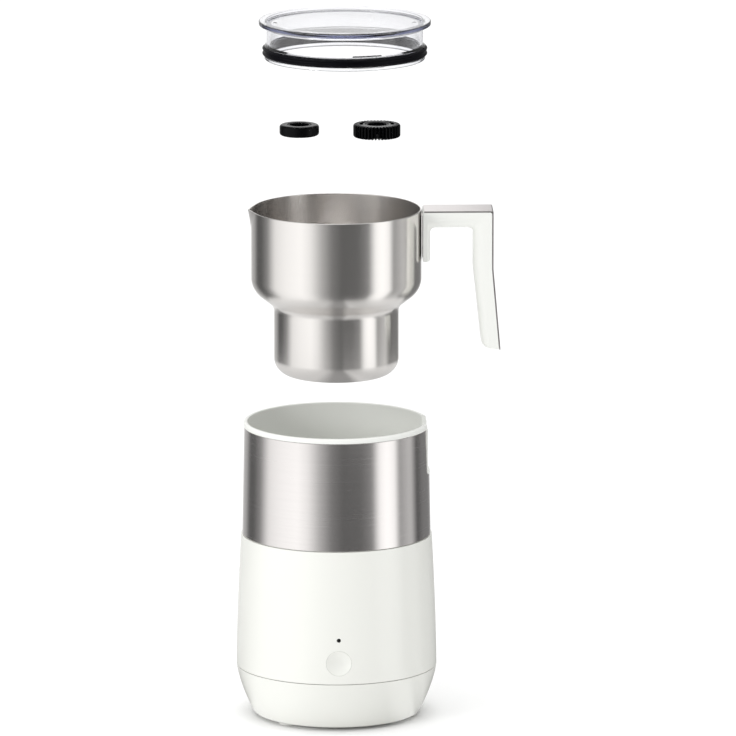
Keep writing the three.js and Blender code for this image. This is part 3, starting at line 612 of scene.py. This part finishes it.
def bottom_cover():
    wall = HOUSING["wall"]
    edge = 0.25
    top = COVER["top"]
    belly = COVER["belly"]
    flat, corner = COVER["flat"], COVER["corner"]
    pull_radius, pull_height = COVER["pull"]
    inner_start = (belly - wall, top)
    inner_end = (flat - wall, wall)
    profile = [
        (0, 0),
        *arc((flat, corner), corner, -90, -27, 6),
        *bow(COVER["start"], COVER["pull"], (belly, top - edge))[1:],
        *arc((belly - edge, top - edge), edge, 0, 90, 4)[1:],
        *bow(inner_start, (pull_radius - wall, pull_height), inner_end, 10),
        (0, wall),
    ]
    piece = turned("bottom_cover_shell", profile)
    tools = []
    for kind, (wide, depth, narrow) in COVER_HOLES.items():
        for index in (1, 2, 3):
            x, y, _ = middle(f"{kind}_{index}")
            tools.append(raised(rod("recess", wide, -1, depth), x, y))
            tools.append(raised(rod("recess", narrow, -1, wall + 1, 24), x, y))
    cord_height = middle("cord_gland")[2] * MM
    # This rod is mirrored, so its faces point inward: the cut marks the wall there but leaves it closed.
    tools.append(laid(rod("rod", CORD_ROD, 45, 70), lambda x, y, z: (x, z, y + cord_height)))
    cut(piece, *tools)
    return placed(smooth(piece), "base", "white_shell", "bottom_cover")


def front_rod(radius, height, sides, back=50, front=70):
    """A rod that lies at a height, from back to front millimetres before the axis."""
    return raised(laid_to_front(rod("rod", radius, back, front, sides)), z=height)


def upper_housing():
    wall = HOUSING["wall"]
    edge = 0.25
    low, top = HOUSING["low"], HOUSING["top"]
    belly, shoulder = HOUSING["belly"], HOUSING["shoulder"]
    tongue_inner, tongue_outer, tongue_depth = HOUSING["tongue"]
    collar_inner, collar_outer, collar_rise = HOUSING["collar"]
    waist = HOUSING["belly_height"]
    profile = [
        (tongue_inner, low - tongue_depth),
        (tongue_outer, low - tongue_depth),
        (tongue_outer, low),
        *arc((belly - edge, low + edge), edge, -90, 0, 4),
        *bow((belly, low + edge), (belly, waist), (shoulder, top - edge), 40)[1:],
        *arc((shoulder - edge, top - edge), edge, 0, 90, 4)[1:],
        (collar_outer, top),
        (collar_outer, top + collar_rise),
        (collar_inner, top + collar_rise),
        (collar_inner, top - 2),
        *bow((shoulder - wall, top - 4), (belly - wall, waist), (belly - wall, low + 5), 12),
        (tongue_inner, low + 3),
    ]
    piece = turned("upper_housing_shell", profile, closed=True)
    cut(piece, front_rod(BUTTON["radius"] + 0.07, BUTTON["height"], 96))
    cut(piece, front_rod(LAMP["hole"], LAMP["height"], 48))
    return placed(smooth(piece), "base", "white_shell", "upper_housing")


def notch_tool(margin):
    """The notch's shape, with rounded lower corners, reaching through the rim on the handle's side."""
    half = NOTCH["half_width"] + margin
    low = WELL["rim"] - NOTCH["depth"] - margin
    top = WELL["rim"] + 5
    round_ = NOTCH["round"] + margin
    outline = [
        (half, top),
        (-half, top),
        *arc((-half + round_, low + round_), round_, 180, 270, 6),
        *arc((half - round_, low + round_), round_, 270, 360, 6),
    ]
    return lofted("tool", [[(x, y, z) for y, z in outline] for x in (40, 70)])


def steel_band():
    sheet = BAND["sheet"]
    low, top = BAND["low"], BAND["top"]
    outline = [
        (BAND["low_radius"] - sheet, low),
        (BAND["low_radius"], low),
        (BAND["top_radius"], top),
        (BAND["top_radius"] - sheet, top),
    ]
    piece = turned("steel_band_sleeve", softened(outline, 0.15, 3), 256, closed=True)
    cut(piece, notch_tool(NOTCH["frame"] + GAP))
    return placed(smooth(piece), "base", "brushed_band", "steel_band")


def well_liner():
    under, floor, rim = WELL["under"], WELL["floor"], WELL["rim"]
    cone_low, cone_top = WELL["cone_low"], WELL["cone_top"]
    pocket, collar, lip = WELL["pocket"], WELL["collar"], WELL["lip"]
    pocket_outer = pocket + WELL["pocket_wall"]
    collar_outer, rim_outer = WELL["collar_outer"], WELL["rim_outer"]
    seat = BAND["top"] + GAP
    round_ = 2.0
    ease = 1.6
    inner_edge = 0.8
    profile = [
        (0, under),
        *arc((pocket_outer - round_, under + round_), round_, -90, 0, 5),
        (pocket_outer, cone_low - ease / 2),
        (collar_outer, cone_top - ease),
        (collar_outer, seat),
        (rim_outer, seat),
        *arc((rim_outer - lip, rim - lip), lip, 0, 90, 8),
        *arc((collar + inner_edge, rim - inner_edge), inner_edge, 90, 180, 6),
        *bow((collar, cone_top + round_), (collar, cone_top), (collar - ease, cone_top - round_), 5),
        *bow((pocket + ease, cone_low + round_), (pocket, cone_low), (pocket, cone_low - round_), 5),
        *arc((pocket - round_, floor + round_), round_, 0, -90, 6),
        (0, floor),
    ]
    piece = turned("well_liner_shell", profile, 256)
    frame_low = rim - NOTCH["depth"] - 10
    ring_outline = [
        (collar, frame_low),
        (NOTCH["outer"], frame_low),
        (NOTCH["outer"], seat),
        (collar, seat),
    ]
    ring = turned("ring", ring_outline, 256, closed=True)
    combine(ring, "INTERSECT", notch_tool(NOTCH["frame"]))
    combine(piece, "UNION", ring)
    cut(piece, notch_tool(0))
    return placed(smooth(piece), "base", "white_trim", "well_liner")


def start_button():
    """A round cap: its face follows the housing at the edge and sinks to a soft dish in the middle."""
    radius, face, depth = BUTTON["radius"], BUTTON["face"], BUTTON["depth"]
    edge, power, height = BUTTON["edge"], BUTTON["power"], BUTTON["height"]
    sides, rings = 96, 20
    levels = [(radius * k / rings, depth * (1 - (k / rings) ** power)) for k in range(rings)]
    levels += [(radius - edge * 0.3, edge * 0.3), (radius, edge)]
    vertices = []
    for reach, sink in levels:
        for side in range(sides):
            x, z = around(reach, 360 * side / sides)
            vertices.append((x, sink - math.sqrt(face**2 - x**2), z + height))
    for side in range(sides):
        x, z = around(radius, 360 * side / sides)
        vertices.append((x, -BUTTON["back"], z + height))
    faces = side_faces(len(levels) + 1, sides)
    faces.append([len(levels) * sides + side for side in range(sides)])
    piece = piece_from("start_button_cap", vertices, faces)
    stem_radius, *stem_ends = BUTTON["stem"]
    collar_radius, *collar_ends = BUTTON["collar"]
    stem = front_rod(stem_radius, height, 32, *stem_ends)
    collar = front_rod(collar_radius, height, 64, *collar_ends)
    combine(piece, "UNION", collar, stem)
    return placed(smooth(piece), "button", "white_shell", "start_button")


def light_pipe():
    """A smoked lens with a domed face."""
    radius, face, dome = LAMP["radius"], LAMP["face"], LAMP["dome"]
    back = -span("light_pipe")[1].y
    stem = radius - 0.25
    profile = [(0, back), (stem, back), (stem, face - 1), (radius, face - 0.6)]
    profile += arc((0, face - dome), dome, 48, 90, 6)[:-1]
    profile.append((0, face))
    piece = raised(laid_to_front(turned("light_pipe_lens", profile, 48)), z=LAMP["height"])
    return placed(smooth(piece), "base", "lamp_lens", "light_pipe")


def foot(index):
    x, y, _ = middle(f"foot_{index}")
    low, high = span(f"foot_{index}")
    radius = (high.x - low.x) / 2
    round_ = 1.0
    profile = [
        (0, low.z),
        (radius * 0.45, low.z),
        *bow((radius * 0.5, low.z + 0.12), (radius * 0.6, low.z + 0.12), (radius * 0.65, low.z), 4),
        *arc((radius - round_, low.z + round_), round_, -90, 0, 6),
        (radius, 0.05),
        (radius - 0.15, 0.2),
        (2.0, 0.2),
        (2.0, 2.6),
        (2.9, 2.6),
        (1.6, high.z),
        (0, high.z),
    ]
    piece = raised(turned(f"foot_{index}_pad", profile, 64), x, y)
    return placed(smooth(piece), "base", "foot_rubber", f"foot_{index}")


def cross_slots(head, low, high):
    """Two crossed blocks that cut a screw head's recess."""
    reach, half = head * SCREW["slot"], SCREW["slot_half"]
    return [block("slot", (-x, -y, low), (x, y, high)) for x, y in ((reach, half), (half, reach))]


def cover_screw(index):
    """A threaded pan-head screw, head down, in the place and size of the CAD screw."""
    node = f"cover_screw_{index}"
    x, y, _ = middle(node)
    low, high = span(node)
    head, depth, pitch = (high.x - low.x) / 2, SCREW["head_depth"], SCREW["pitch"]
    stem = head * SCREW["stem"]
    root = stem * SCREW["thread_root"]
    length = high.z - low.z
    profile = [(0, 0)]
    profile += bow((head * 0.5, 0), (head * 0.95, 0), (head, depth * 0.55), 6)
    profile += [(head, depth * 0.8), (stem + 0.2, depth)]
    for turn in range(int((length - depth - 1.2) / pitch)):
        start = depth + 0.3 + turn * pitch
        profile += [(root, start), (stem, start + pitch / 2)]
    profile += [(root, length - 0.8), (0, length)]
    piece = turned(f"{node}_pan_head", profile, 48)
    cut(piece, *cross_slots(head, -1, 0.7))
    raised(piece, x, y, low.z)
    return placed(smooth(piece), "base", "plated_steel", node)


def handle_screw(index):
    """A plain pan-head screw lying along +X, its head toward the fingers."""
    node = f"handle_screw_{index}"
    low, high = span(node)
    head = (high.z - low.z) / 2
    length = high.x - low.x
    stem = head * 0.52
    neck, edge = length - 1.3, length - 0.6
    profile = [(0, 0), (stem, 0), (stem, neck), (head, neck)]
    profile += bow((head, edge), (head * 0.95, length), (head * 0.5, length), 5)
    profile.append((0, length))
    piece = turned(f"{node}_pan_head", profile, 48)
    cut(piece, *cross_slots(head, length - 0.7, length + 1))
    raised(laid_to_handle(piece), low.x, 0, middle(node)[2])
    return placed(smooth(piece), "jug", "plated_steel", node)


def cord_gland():
    """A ribbed bush that stands out of the back wall."""
    low, high = span("cord_gland")
    bore, body = 3.6, 6.0
    flange = (high.x - low.x) / 2
    inner, outer = low.y, high.y
    outline = [
        (bore, inner),
        (body, inner),
        (body, outer - 1.4),
        (flange, outer - 1.4),
        (flange, outer - 0.7),
        (flange - 0.7, outer),
        (bore + 0.6, outer),
        (bore, outer - 0.6),
    ]
    piece = turned("cord_gland_bush", softened(outline, 0.3, 3), 64, closed=True)
    raised(laid_to_back(piece), z=middle("cord_gland")[2])
    return placed(smooth(piece), "base", "white_trim", "cord_gland")


# ---- The jug ----


def jug_wall(inset):
    """The jug's side from the floor to just under the rim, moved in by a distance."""
    turn = math.radians(JUG["shoulder_turn"])
    lower, upper = JUG["lower"], JUG["upper"]
    neck, shoulder, bottom = JUG["neck_round"], JUG["shoulder_round"], JUG["bottom_round"]
    rounds_out = (neck + shoulder) * (1 - math.cos(turn))
    cone_rise = (upper - lower - rounds_out) / math.tan(turn)
    shoulder_height = JUG["neck_height"] + (neck + shoulder) * math.sin(turn) + cone_rise
    degrees = JUG["shoulder_turn"]
    return [
        *arc((lower - bottom, bottom), bottom - inset, -90, 0, 14),
        *arc((lower + neck, JUG["neck_height"]), neck + inset, 180, 180 - degrees, 10),
        *arc((upper - shoulder, shoulder_height), shoulder - inset, -degrees, 0, 14),
    ]


def spout(radius, height, angle):
    """Pulls the wall out to a pouring lip that narrows downward, on the side away from the handle."""
    rise = (height - (JUG["height"] - SPOUT["drop"])) / SPOUT["drop"]
    if rise <= 0:
        return radius
    aside = abs(math.degrees(angle) - 180) / (SPOUT["half_angle"] * rise)
    if aside >= 1:
        return radius
    return radius + SPOUT["reach"] * rise**1.5 * (1 - aside) ** 1.4


def jug_body():
    sheet, height, upper = JUG["sheet"], JUG["height"], JUG["upper"]
    levels = 14
    wall_heights = [height - SPOUT["drop"] * (1 - k / levels) for k in range(levels)]
    bead = sheet / 2
    outside = [(upper, z) for z in wall_heights]
    rim = arc((upper - bead, height - bead), bead, 0, 180, 8)
    inside = [(upper - sheet, z) for z in reversed(wall_heights)]
    profile = [(0, 0), *jug_wall(0), *outside, *rim, *inside, *reversed(jug_wall(sheet)), (0, sheet)]
    piece = turned("jug_body_pressing", profile, 384, shift=spout)
    raised(piece, z=JUG["low"])
    return placed(smooth(piece), "jug", "jug_steel", "jug_body")


def whisk_spindle():
    low, high = span("whisk_spindle")
    foot_radius, tip_radius = 5.2, 1.8
    profile = [
        (0, low.z),
        (foot_radius, low.z),
        (foot_radius - 0.1, low.z + 0.7),
        (tip_radius + 0.5, high.z - 1.6),
        *arc((0, high.z - tip_radius), tip_radius, 10, 90, 6),
    ]
    profile[-1] = (0, high.z)
    piece = turned("whisk_spindle_pin", profile, 96)
    return placed(smooth(piece), "jug", "jug_steel", "whisk_spindle")


def handle_outline(cover, share):
    """The handle's side outline; share 0 is its full depth and share 1 the thin edge beside the strip."""
    top = JUG["height"]
    arm = HANDLE["arm"] - HANDLE["bevel_depth"] * share
    inner = HANDLE["inner"] + HANDLE["bevel_depth"] * share
    end_inner = HANDLE["end_inner"] + HANDLE["bevel_depth"] * share * 0.85
    block_x = HANDLE["block"] - HANDLE["block_bevel"] * share
    corner = HANDLE["corner"]
    end_round = HANDLE["end_round"] * (1 - 0.4 * share)
    root = HANDLE["root"]
    low = top - HANDLE["drop"]
    outer, end_outer = HANDLE["outer"] - cover, HANDLE["end_outer"] - cover
    foot_of_block = top - HANDLE["block_drop"]
    return [
        (root, top - cover),
        (root, foot_of_block),
        *arc((block_x - 0.9, foot_of_block + 0.9), 0.9, -90, 0, 3),
        *arc((block_x + corner, top - arm - corner), corner, 180, 90, 5),
        *arc((inner - corner, top - arm - corner), corner, 90, 0, 5),
        (inner, top - HANDLE["kink"]),
        *bow(
            (end_inner - 0.6, low + end_round + 2),
            (end_inner, low + 1),
            (end_inner + end_round, low + 0.4),
            5,
        ),
        (end_outer, low),
        (outer, top - HANDLE["kink"]),
        (outer, top - cover - 0.8),
        (outer - 0.8, top - cover),
    ]


def handle_body():
    """A moulding whose inner side is narrower than its outer side, with soft slanted flanks."""
    half, width = HANDLE["half_width"] - 0.1, HANDLE["bevel_width"]
    steps = 6
    flank = []
    for step in range(steps + 1):
        turn = math.radians(90 * step / steps)
        flank.append((half - width * (1 - math.cos(turn) ** 0.8), (1 - math.sin(turn)) ** 0.85))
    cover = HANDLE["strip"] + GAP / 2
    sides = [(-y, share) for y, share in flank] + [(y, share) for y, share in reversed(flank)]
    layers = [[(x, y, z) for x, z in handle_outline(cover, share)] for y, share in sides]
    piece = lofted("handle_moulding", layers)
    raised(piece, z=JUG["low"])
    room = rod("room", JUG["upper"] + GAP, JUG["low"] - 5, JUG["low"] + JUG["height"] + 5, 256)
    low, high = span("handle_bracket")
    margin = Vector((0.2, 0.2, 0.2))
    bracket_room = block("room", low - margin - Vector((2, 0, 0)), high + margin)
    drills = []
    for index in (1, 2):
        height = middle(f"handle_screw_{index}")[2]
        screw_low, screw_high = span(f"handle_screw_{index}")
        for radius, start in ((1.5, screw_low.x - 1), (2.5, screw_high.x - 1.6)):
            drills.append(raised(laid_to_handle(rod("drill", radius, start, 62, 32)), z=height))
    cut(piece, room, bracket_room, *drills)
    bevel(piece, 0.25, 2, 40)
    return placed(smooth(piece, math.radians(30)), "jug", "white_trim", "handle_body")


def handle_strip():
    """The steel strip folded over the handle's top and outer side, with its edges broken."""
    strip = HANDLE["strip"]
    top = JUG["height"]
    kink = top - HANDLE["kink"]
    low = top - HANDLE["drop"]
    outer, end_outer = HANDLE["outer"], HANDLE["end_outer"]
    start = span("handle_strip")[0].x
    fold = 1.1
    outline = [
        (start, top - strip),
        *arc((outer - fold, top - fold), fold - strip, 90, 0, 4),
        (outer - strip, kink),
        (end_outer - strip, low),
        (end_outer, low),
        (outer, kink),
        *arc((outer - fold, top - fold), fold, 0, 90, 6),
        (start, top),
    ]
    half = HANDLE["half_width"]
    piece = lofted("handle_steel_strip", [[(x, y, z) for x, z in outline] for y in (-half, half)])
    raised(piece, z=JUG["low"])
    bevel(piece, 0.12, 2)
    return placed(smooth(piece), "jug", "brushed_band", "handle_strip", material=strip_steel())


# ---- The lid ----


def lid_dish():
    """A clear cup turned upside down: a disc just below the flange's rim, and a skirt open below."""
    height = LID["height"]
    disc_top = height - LID["dish_depth"]
    disc_under = disc_top - LID["disc"]
    flange, flange_low = LID["flange"], height - LID["flange_thickness"]
    bead, groove = LID["bead"], LID["groove"]
    edge = 0.8
    fillet = 1.2
    profile = [
        (0, disc_under),
        *arc((LID["inner"] - fillet, disc_under - fillet), fillet, 90, 0, 5),
        *arc((LID["inner"] + 0.4, 0.4), 0.4, 180, 270, 3),
        *arc((bead - edge, edge), edge, -90, 0, 5),
        (bead, LID["groove_low"] - 0.2),
        (bead - 0.2, LID["groove_low"]),
        (groove, LID["groove_low"]),
        (groove, LID["groove_high"]),
        (bead - 0.2, LID["groove_high"]),
        (bead, LID["groove_high"] + 0.2),
        (LID["skirt"], LID["groove_high"] + 1.3),
        *arc((LID["skirt"] + fillet, flange_low - fillet), fillet, 180, 90, 5),
        *arc((flange - edge, flange_low + edge), edge, -90, 0, 5),
        *arc((flange - edge, height - edge), edge, 0, 90, 5),
        *arc((LID["dish"] + 0.9, height - 0.4), 0.4, 90, 180, 4),
        *arc((LID["dish"] - 0.1, disc_top + 0.6), 0.6, 0, -90, 4),
        (0, disc_top),
    ]
    piece = turned("lid_clear_cup", profile, 256)
    raised(piece, z=LID["low"])
    top, under = LID["low"] + height + 1, LID["low"] + disc_under - 1
    vents = [raised(rod("vent", LID["vent"], under, top, 40), x) for x in (-LID["vent_x"], LID["vent_x"])]
    cut(piece, *vents)
    raised(piece, LID["aside"])
    return placed(smooth(piece), "lid", "clear_plastic", "lid_dish")


def lid_gasket():
    low, high = GASKET["low"], GASKET["high"]
    inner, core, lip = GASKET["inner"], GASKET["core"], GASKET["lip"]
    profile = [
        (inner, low),
        (core, low),
        *arc((lip - 0.5, low + 1.2), 0.5, -60, 60, 5),
        *bow((core + 0.3, low + 2.2), (core, (low + high) / 2), (core + 0.3, high - 2.2), 8),
        *arc((lip - 0.5, high - 1.2), 0.5, -60, 60, 5),
        (core, high),
        (inner, high),
    ]
    piece = turned("lid_gasket_double_lip", profile, 256, closed=True)
    raised(piece, LID["aside"], z=LID["low"])
    return placed(smooth(piece), "lid", "gasket_rubber", "lid_gasket")


# ---- The ring whisks ----


def centre_of(node):
    """A node's middle across, its lowest height and its thickness."""
    x, y, _ = middle(node)
    low, high = span(node)
    return x, y, low.z, high.z - low.z


def magnet_pockets(prefix, low):
    """Blind holes in the underside, over the CAD magnets."""
    tools = []
    for index in (1, 2):
        x, y, _ = middle(f"{prefix}_magnet_{index}")
        magnet_low, magnet_high = span(f"{prefix}_magnet_{index}")
        radius = (magnet_high.x - magnet_low.x) / 2 + 0.15
        tools.append(raised(rod("pocket", radius, low - 1, magnet_high.z + 0.2, 32), x, y))
    return tools


def fin_reach(radius, height, angle):
    """Cuts the gaps between the fins into the ring's outer side."""
    depth = min(height, FROTH["thickness"] - height)
    sink = FROTH["slope_low"] if height < FROTH["thickness"] / 2 else FROTH["slope_high"]
    root = FROTH["root"] - sink * max(0.0, 1 - depth / FROTH["slope"])
    if radius <= root:
        return radius
    turn = (angle / (2 * math.pi) * FROTH["fins"]) % 1.0
    flank = FROTH["flank"]
    inside = min(1.0, max(0.0, ((FROTH["share"] + flank) / 2 - abs(turn - 0.5)) / flank))
    return root + (radius - root) * inside


def kidney_tools(x, y, top):
    """Curved slots with round ends, cut into the ring from above."""
    inner, outer = KIDNEY["inner"], KIDNEY["outer"]
    round_, mean = (outer - inner) / 2, (outer + inner) / 2
    tools = []
    for angle in KIDNEY["angles"]:
        start, end = angle - KIDNEY["half_span"], angle + KIDNEY["half_span"]
        outline = arc((0, 0), outer, start, end, 12)
        outline += arc(around(mean, end), round_, end, end + 180, 8)[1:-1]
        outline += arc((0, 0), inner, end, start, 12)
        outline += arc(around(mean, start), round_, start + 180, start + 360, 8)[1:-1]
        tool = prism("kidney", outline, top - KIDNEY["depth"], top + 1)
        tools.append(raised(tool, x, y))
    return tools


def froth_ring():
    """A ring with a comb of upright fins, rounded off above and below, and two kidney-shaped slots."""
    x, y, low, height = centre_of("froth_whisk_ring")
    radius, root, bore, crown = FROTH["radius"], FROTH["root"], FROTH["bore"], FROTH["crown"]
    profile = [
        *arc((bore + 0.4, 0.4), 0.4, 180, 270, 3),
        (root - 1.2, 0),
        *arc((radius - crown, crown), crown, -90, 0, 6),
        *arc((radius - crown, height - crown), crown, 0, 90, 6),
        (root - 1.2, height),
        *arc((bore + 0.4, height - 0.4), 0.4, 90, 180, 3),
    ]
    piece = turned("froth_ring_comb", profile, FROTH["fins"] * 16, closed=True, shift=fin_reach)
    raised(piece, x, y, low)
    cut(piece, *kidney_tools(x, y, low + height), *magnet_pockets("froth_whisk", low))
    return placed(smooth(piece), "froth_whisk", "whisk_plastic", "froth_whisk_ring")


def stir_ring():
    x, y, low, height = centre_of("stir_whisk_ring")
    radius, bore, edge = STIR["radius"], STIR["bore"], STIR["edge"]
    profile = [
        *arc((bore + 0.5, 0.5), 0.5, 180, 270, 3),
        *arc((radius - edge, edge), edge, -90, 0, 7),
        *arc((radius - edge, height - edge), edge, 0, 90, 7),
        *arc((bore + 0.5, height - 0.5), 0.5, 90, 180, 3),
    ]
    piece = turned("stir_ring_smooth", profile, 128, closed=True)
    raised(piece, x, y, low)
    cut(piece, *magnet_pockets("stir_whisk", low))
    return placed(smooth(piece), "stir_whisk", "whisk_plastic", "stir_whisk_ring")


def whisk_bush(prefix):
    x, y, low, height = centre_of(f"{prefix}_bush")
    outline = [(BUSH["bore"], 0), (BUSH["outer"], 0), (BUSH["outer"], height), (BUSH["bore"], height)]
    piece = turned(f"{prefix}_sleeve", softened(outline, 0.25, 3), 96, closed=True)
    raised(piece, x, y, low)
    body = prefix.replace("whisk", "bush")
    return placed(smooth(piece), body, "whisk_plastic", f"{prefix}_bush")


# ---- The stage: floor, studio tent, lights, camera ----

FLOOR_HEIGHT = span("foot_1")[0].z
FLOOR_RADIUS = 40000
TENT_RADIUS, TENT_TOP = 300, 1500
CARD_RADIUS = 110

# What the steel mirrors: (degrees round the object from the camera's side, brightness).
TENT = [
    (-180, 1.15), (-163, 1.05), (-150, 0.5), (-138, 0.42), (-126, 0.1), (-114, 0.12), (-100, 0.3),
    (-86, 0.95), (-68, 1.1), (-46, 1.2), (-34, 1.0), (-20, 0.5), (-7, 0.22), (6, 0.13),
    (26, 0.14), (40, 0.24), (49, 1.1), (58, 1.3), (69, 1.2), (76, 0.34), (95, 0.62),
    (107, 0.08), (121, 0.2), (146, 0.22), (154, 0.5), (164, 1.05), (180, 1.15),
]

# What the jug's underside mirrors: (millimetres across the picture, brightness).
CARD = [
    (-110, 0.95), (-58, 0.8), (-29, 0.7), (-19, 0.7), (-5, 0.36), (11, 0.34), (19, 0.75),
    (32, 0.65), (62, 0.8), (110, 0.95),
]

WORLD_STRENGTH = 0.56
OVERHEAD_SPREAD, OVERHEAD_POWER = 60, 1.95
KEY_PLACE, KEY_AIM = Vector((-1.9, -1.7, 0.9)), Vector((0, 0, 0.15))
KEY_SIZE, KEY_POWER = 0.8, 18

# The camera, in metres and degrees; the field is the width it sees at its target.
CAMERA = {"distance": 6.0, "field": 0.458, "azimuth": -1.5, "elevation": 11.6}
CAMERA["target"] = Vector((0.0197, 0.0, 0.2176))


def disc(name, radius, height, sides=64):
    """A flat round sheet."""
    vertices = [(0, 0, height)] + [(*around(radius, 360 * k / sides), height) for k in range(sides)]
    faces = [[0, 1 + k, 1 + (k + 1) % sides] for k in range(sides)]
    return piece_from(name, vertices, faces)


def floor():
    piece = disc("stage_floor", FLOOR_RADIUS, FLOOR_HEIGHT)
    finish = Finish("stage white", (0.93, 0.93, 0.93), 0.9, Specular_IOR_Level=0.0)
    piece.data.materials.append(finish.material)


def glow(piece, stops, low, high, turning=False):
    """Makes a stage piece shine by its stops, along x or round the axis, for polished surfaces only."""
    finish = Finish(piece.name, (0, 0, 0), 1.0)
    finish.nodes.remove(finish.shader)
    split = finish.nodes.new("ShaderNodeSeparateXYZ")
    finish.links.new(finish.space, split.inputs[0])
    place = split.outputs[0]
    if turning:
        place = finish.maths("ARCTAN2", place, finish.maths("MULTIPLY", split.outputs[1], -1.0))
    ramp = finish.nodes.new("ShaderNodeValToRGB")
    top = max(brightness for _, brightness in stops)
    first, last = stops[0][0], stops[-1][0]
    elements = ramp.color_ramp.elements
    while len(elements) < len(stops):
        elements.new(0.5)
    for element, (stop, _) in zip(elements, stops):
        element.position = (stop - first) / (last - first)
    for element, (_, brightness) in zip(elements, stops):
        element.color = (*[brightness / top] * 3, 1)
    finish.links.new(finish.remap(place, 0.0, 1.0, low, high), ramp.inputs["Fac"])
    shine = finish.nodes.new("ShaderNodeEmission")
    shine.inputs["Strength"].default_value = top
    finish.links.new(ramp.outputs["Color"], shine.inputs["Color"])
    finish.links.new(shine.outputs[0], finish.nodes["Material Output"].inputs["Surface"])
    finish.material.cycles.emission_sampling = "NONE"
    piece.data.materials.append(finish.material)
    piece.visible_camera = False
    piece.visible_diffuse = False
    piece.visible_transmission = False
    piece.visible_volume_scatter = False
    piece.visible_shadow = False


def tent():
    """A round screen and its floor, bright and dark in upright bands as in a photo studio."""
    low = FLOOR_HEIGHT + 0.5
    profile = [(0, low), (TENT_RADIUS, low), (TENT_RADIUS, TENT_TOP)]
    glow(turned("stage_tent", profile, 180), TENT, -math.pi, math.pi, turning=True)


def under_card():
    """A round card halfway between the jug and the base, dark in the middle."""
    height = (WELL["rim"] + JUG["low"]) / 2
    reach = CARD_RADIUS * MM
    glow(disc("stage_under_card", CARD_RADIUS, height), CARD, -reach, reach)


def hung(name, data, direction, place=(0, 0, 0)):
    """A light or camera in its place, in metres, facing along a direction."""
    thing = bpy.data.objects.new(name, data)
    thing.location = place
    thing.rotation_mode = "QUATERNION"
    thing.rotation_quaternion = Vector(direction).to_track_quat("-Z", "Y")
    bpy.context.scene.collection.objects.link(thing)
    return thing


def studio():
    """A white world, a wide light overhead and a soft key light at the left, which steel doesn't mirror."""
    world = bpy.data.worlds.new("studio white")
    world.use_nodes = True
    world.node_tree.nodes["Background"].inputs["Color"].default_value = (1, 1, 1, 1)
    world.node_tree.nodes["Background"].inputs["Strength"].default_value = WORLD_STRENGTH
    bpy.context.scene.world = world
    overhead = bpy.data.lights.new("overhead light", "SUN")
    overhead.angle = math.radians(OVERHEAD_SPREAD)
    overhead.energy = OVERHEAD_POWER
    hung("overhead light", overhead, (0, 0, -1)).visible_glossy = False
    key = bpy.data.lights.new("key light", "AREA")
    key.shape = "SQUARE"
    key.size = KEY_SIZE
    key.energy = KEY_POWER
    hung("key light", key, KEY_AIM - KEY_PLACE, KEY_PLACE).visible_glossy = False
    bpy.context.scene.view_settings.view_transform = "Standard"


def camera():
    """A long lens, a little above the object and a touch to its left."""
    azimuth, elevation = math.radians(CAMERA["azimuth"]), math.radians(CAMERA["elevation"])
    level = math.cos(elevation)
    back = Vector((math.sin(azimuth) * level, -math.cos(azimuth) * level, math.sin(elevation)))
    data = bpy.data.cameras.new("camera")
    data.sensor_width = 36
    data.lens = data.sensor_width * CAMERA["distance"] / CAMERA["field"]
    data.clip_end = 100
    place = CAMERA["target"] + back * CAMERA["distance"]
    bpy.context.scene.camera = hung("camera", data, -back, place)


camera()
dress_cad_nodes()

bottom_cover()
upper_housing()
steel_band()
well_liner()
start_button()
light_pipe()
cord_gland()
for number in (1, 2, 3):
    foot(number)
    cover_screw(number)

jug_body()
whisk_spindle()
handle_body()
handle_strip()
for number in (1, 2):
    handle_screw(number)

lid_dish()
lid_gasket()

froth_ring()
stir_ring()
whisk_bush("froth_whisk")
whisk_bush("stir_whisk")

floor()
tent()
under_card()
studio()

bpy.context.view_layer.update()
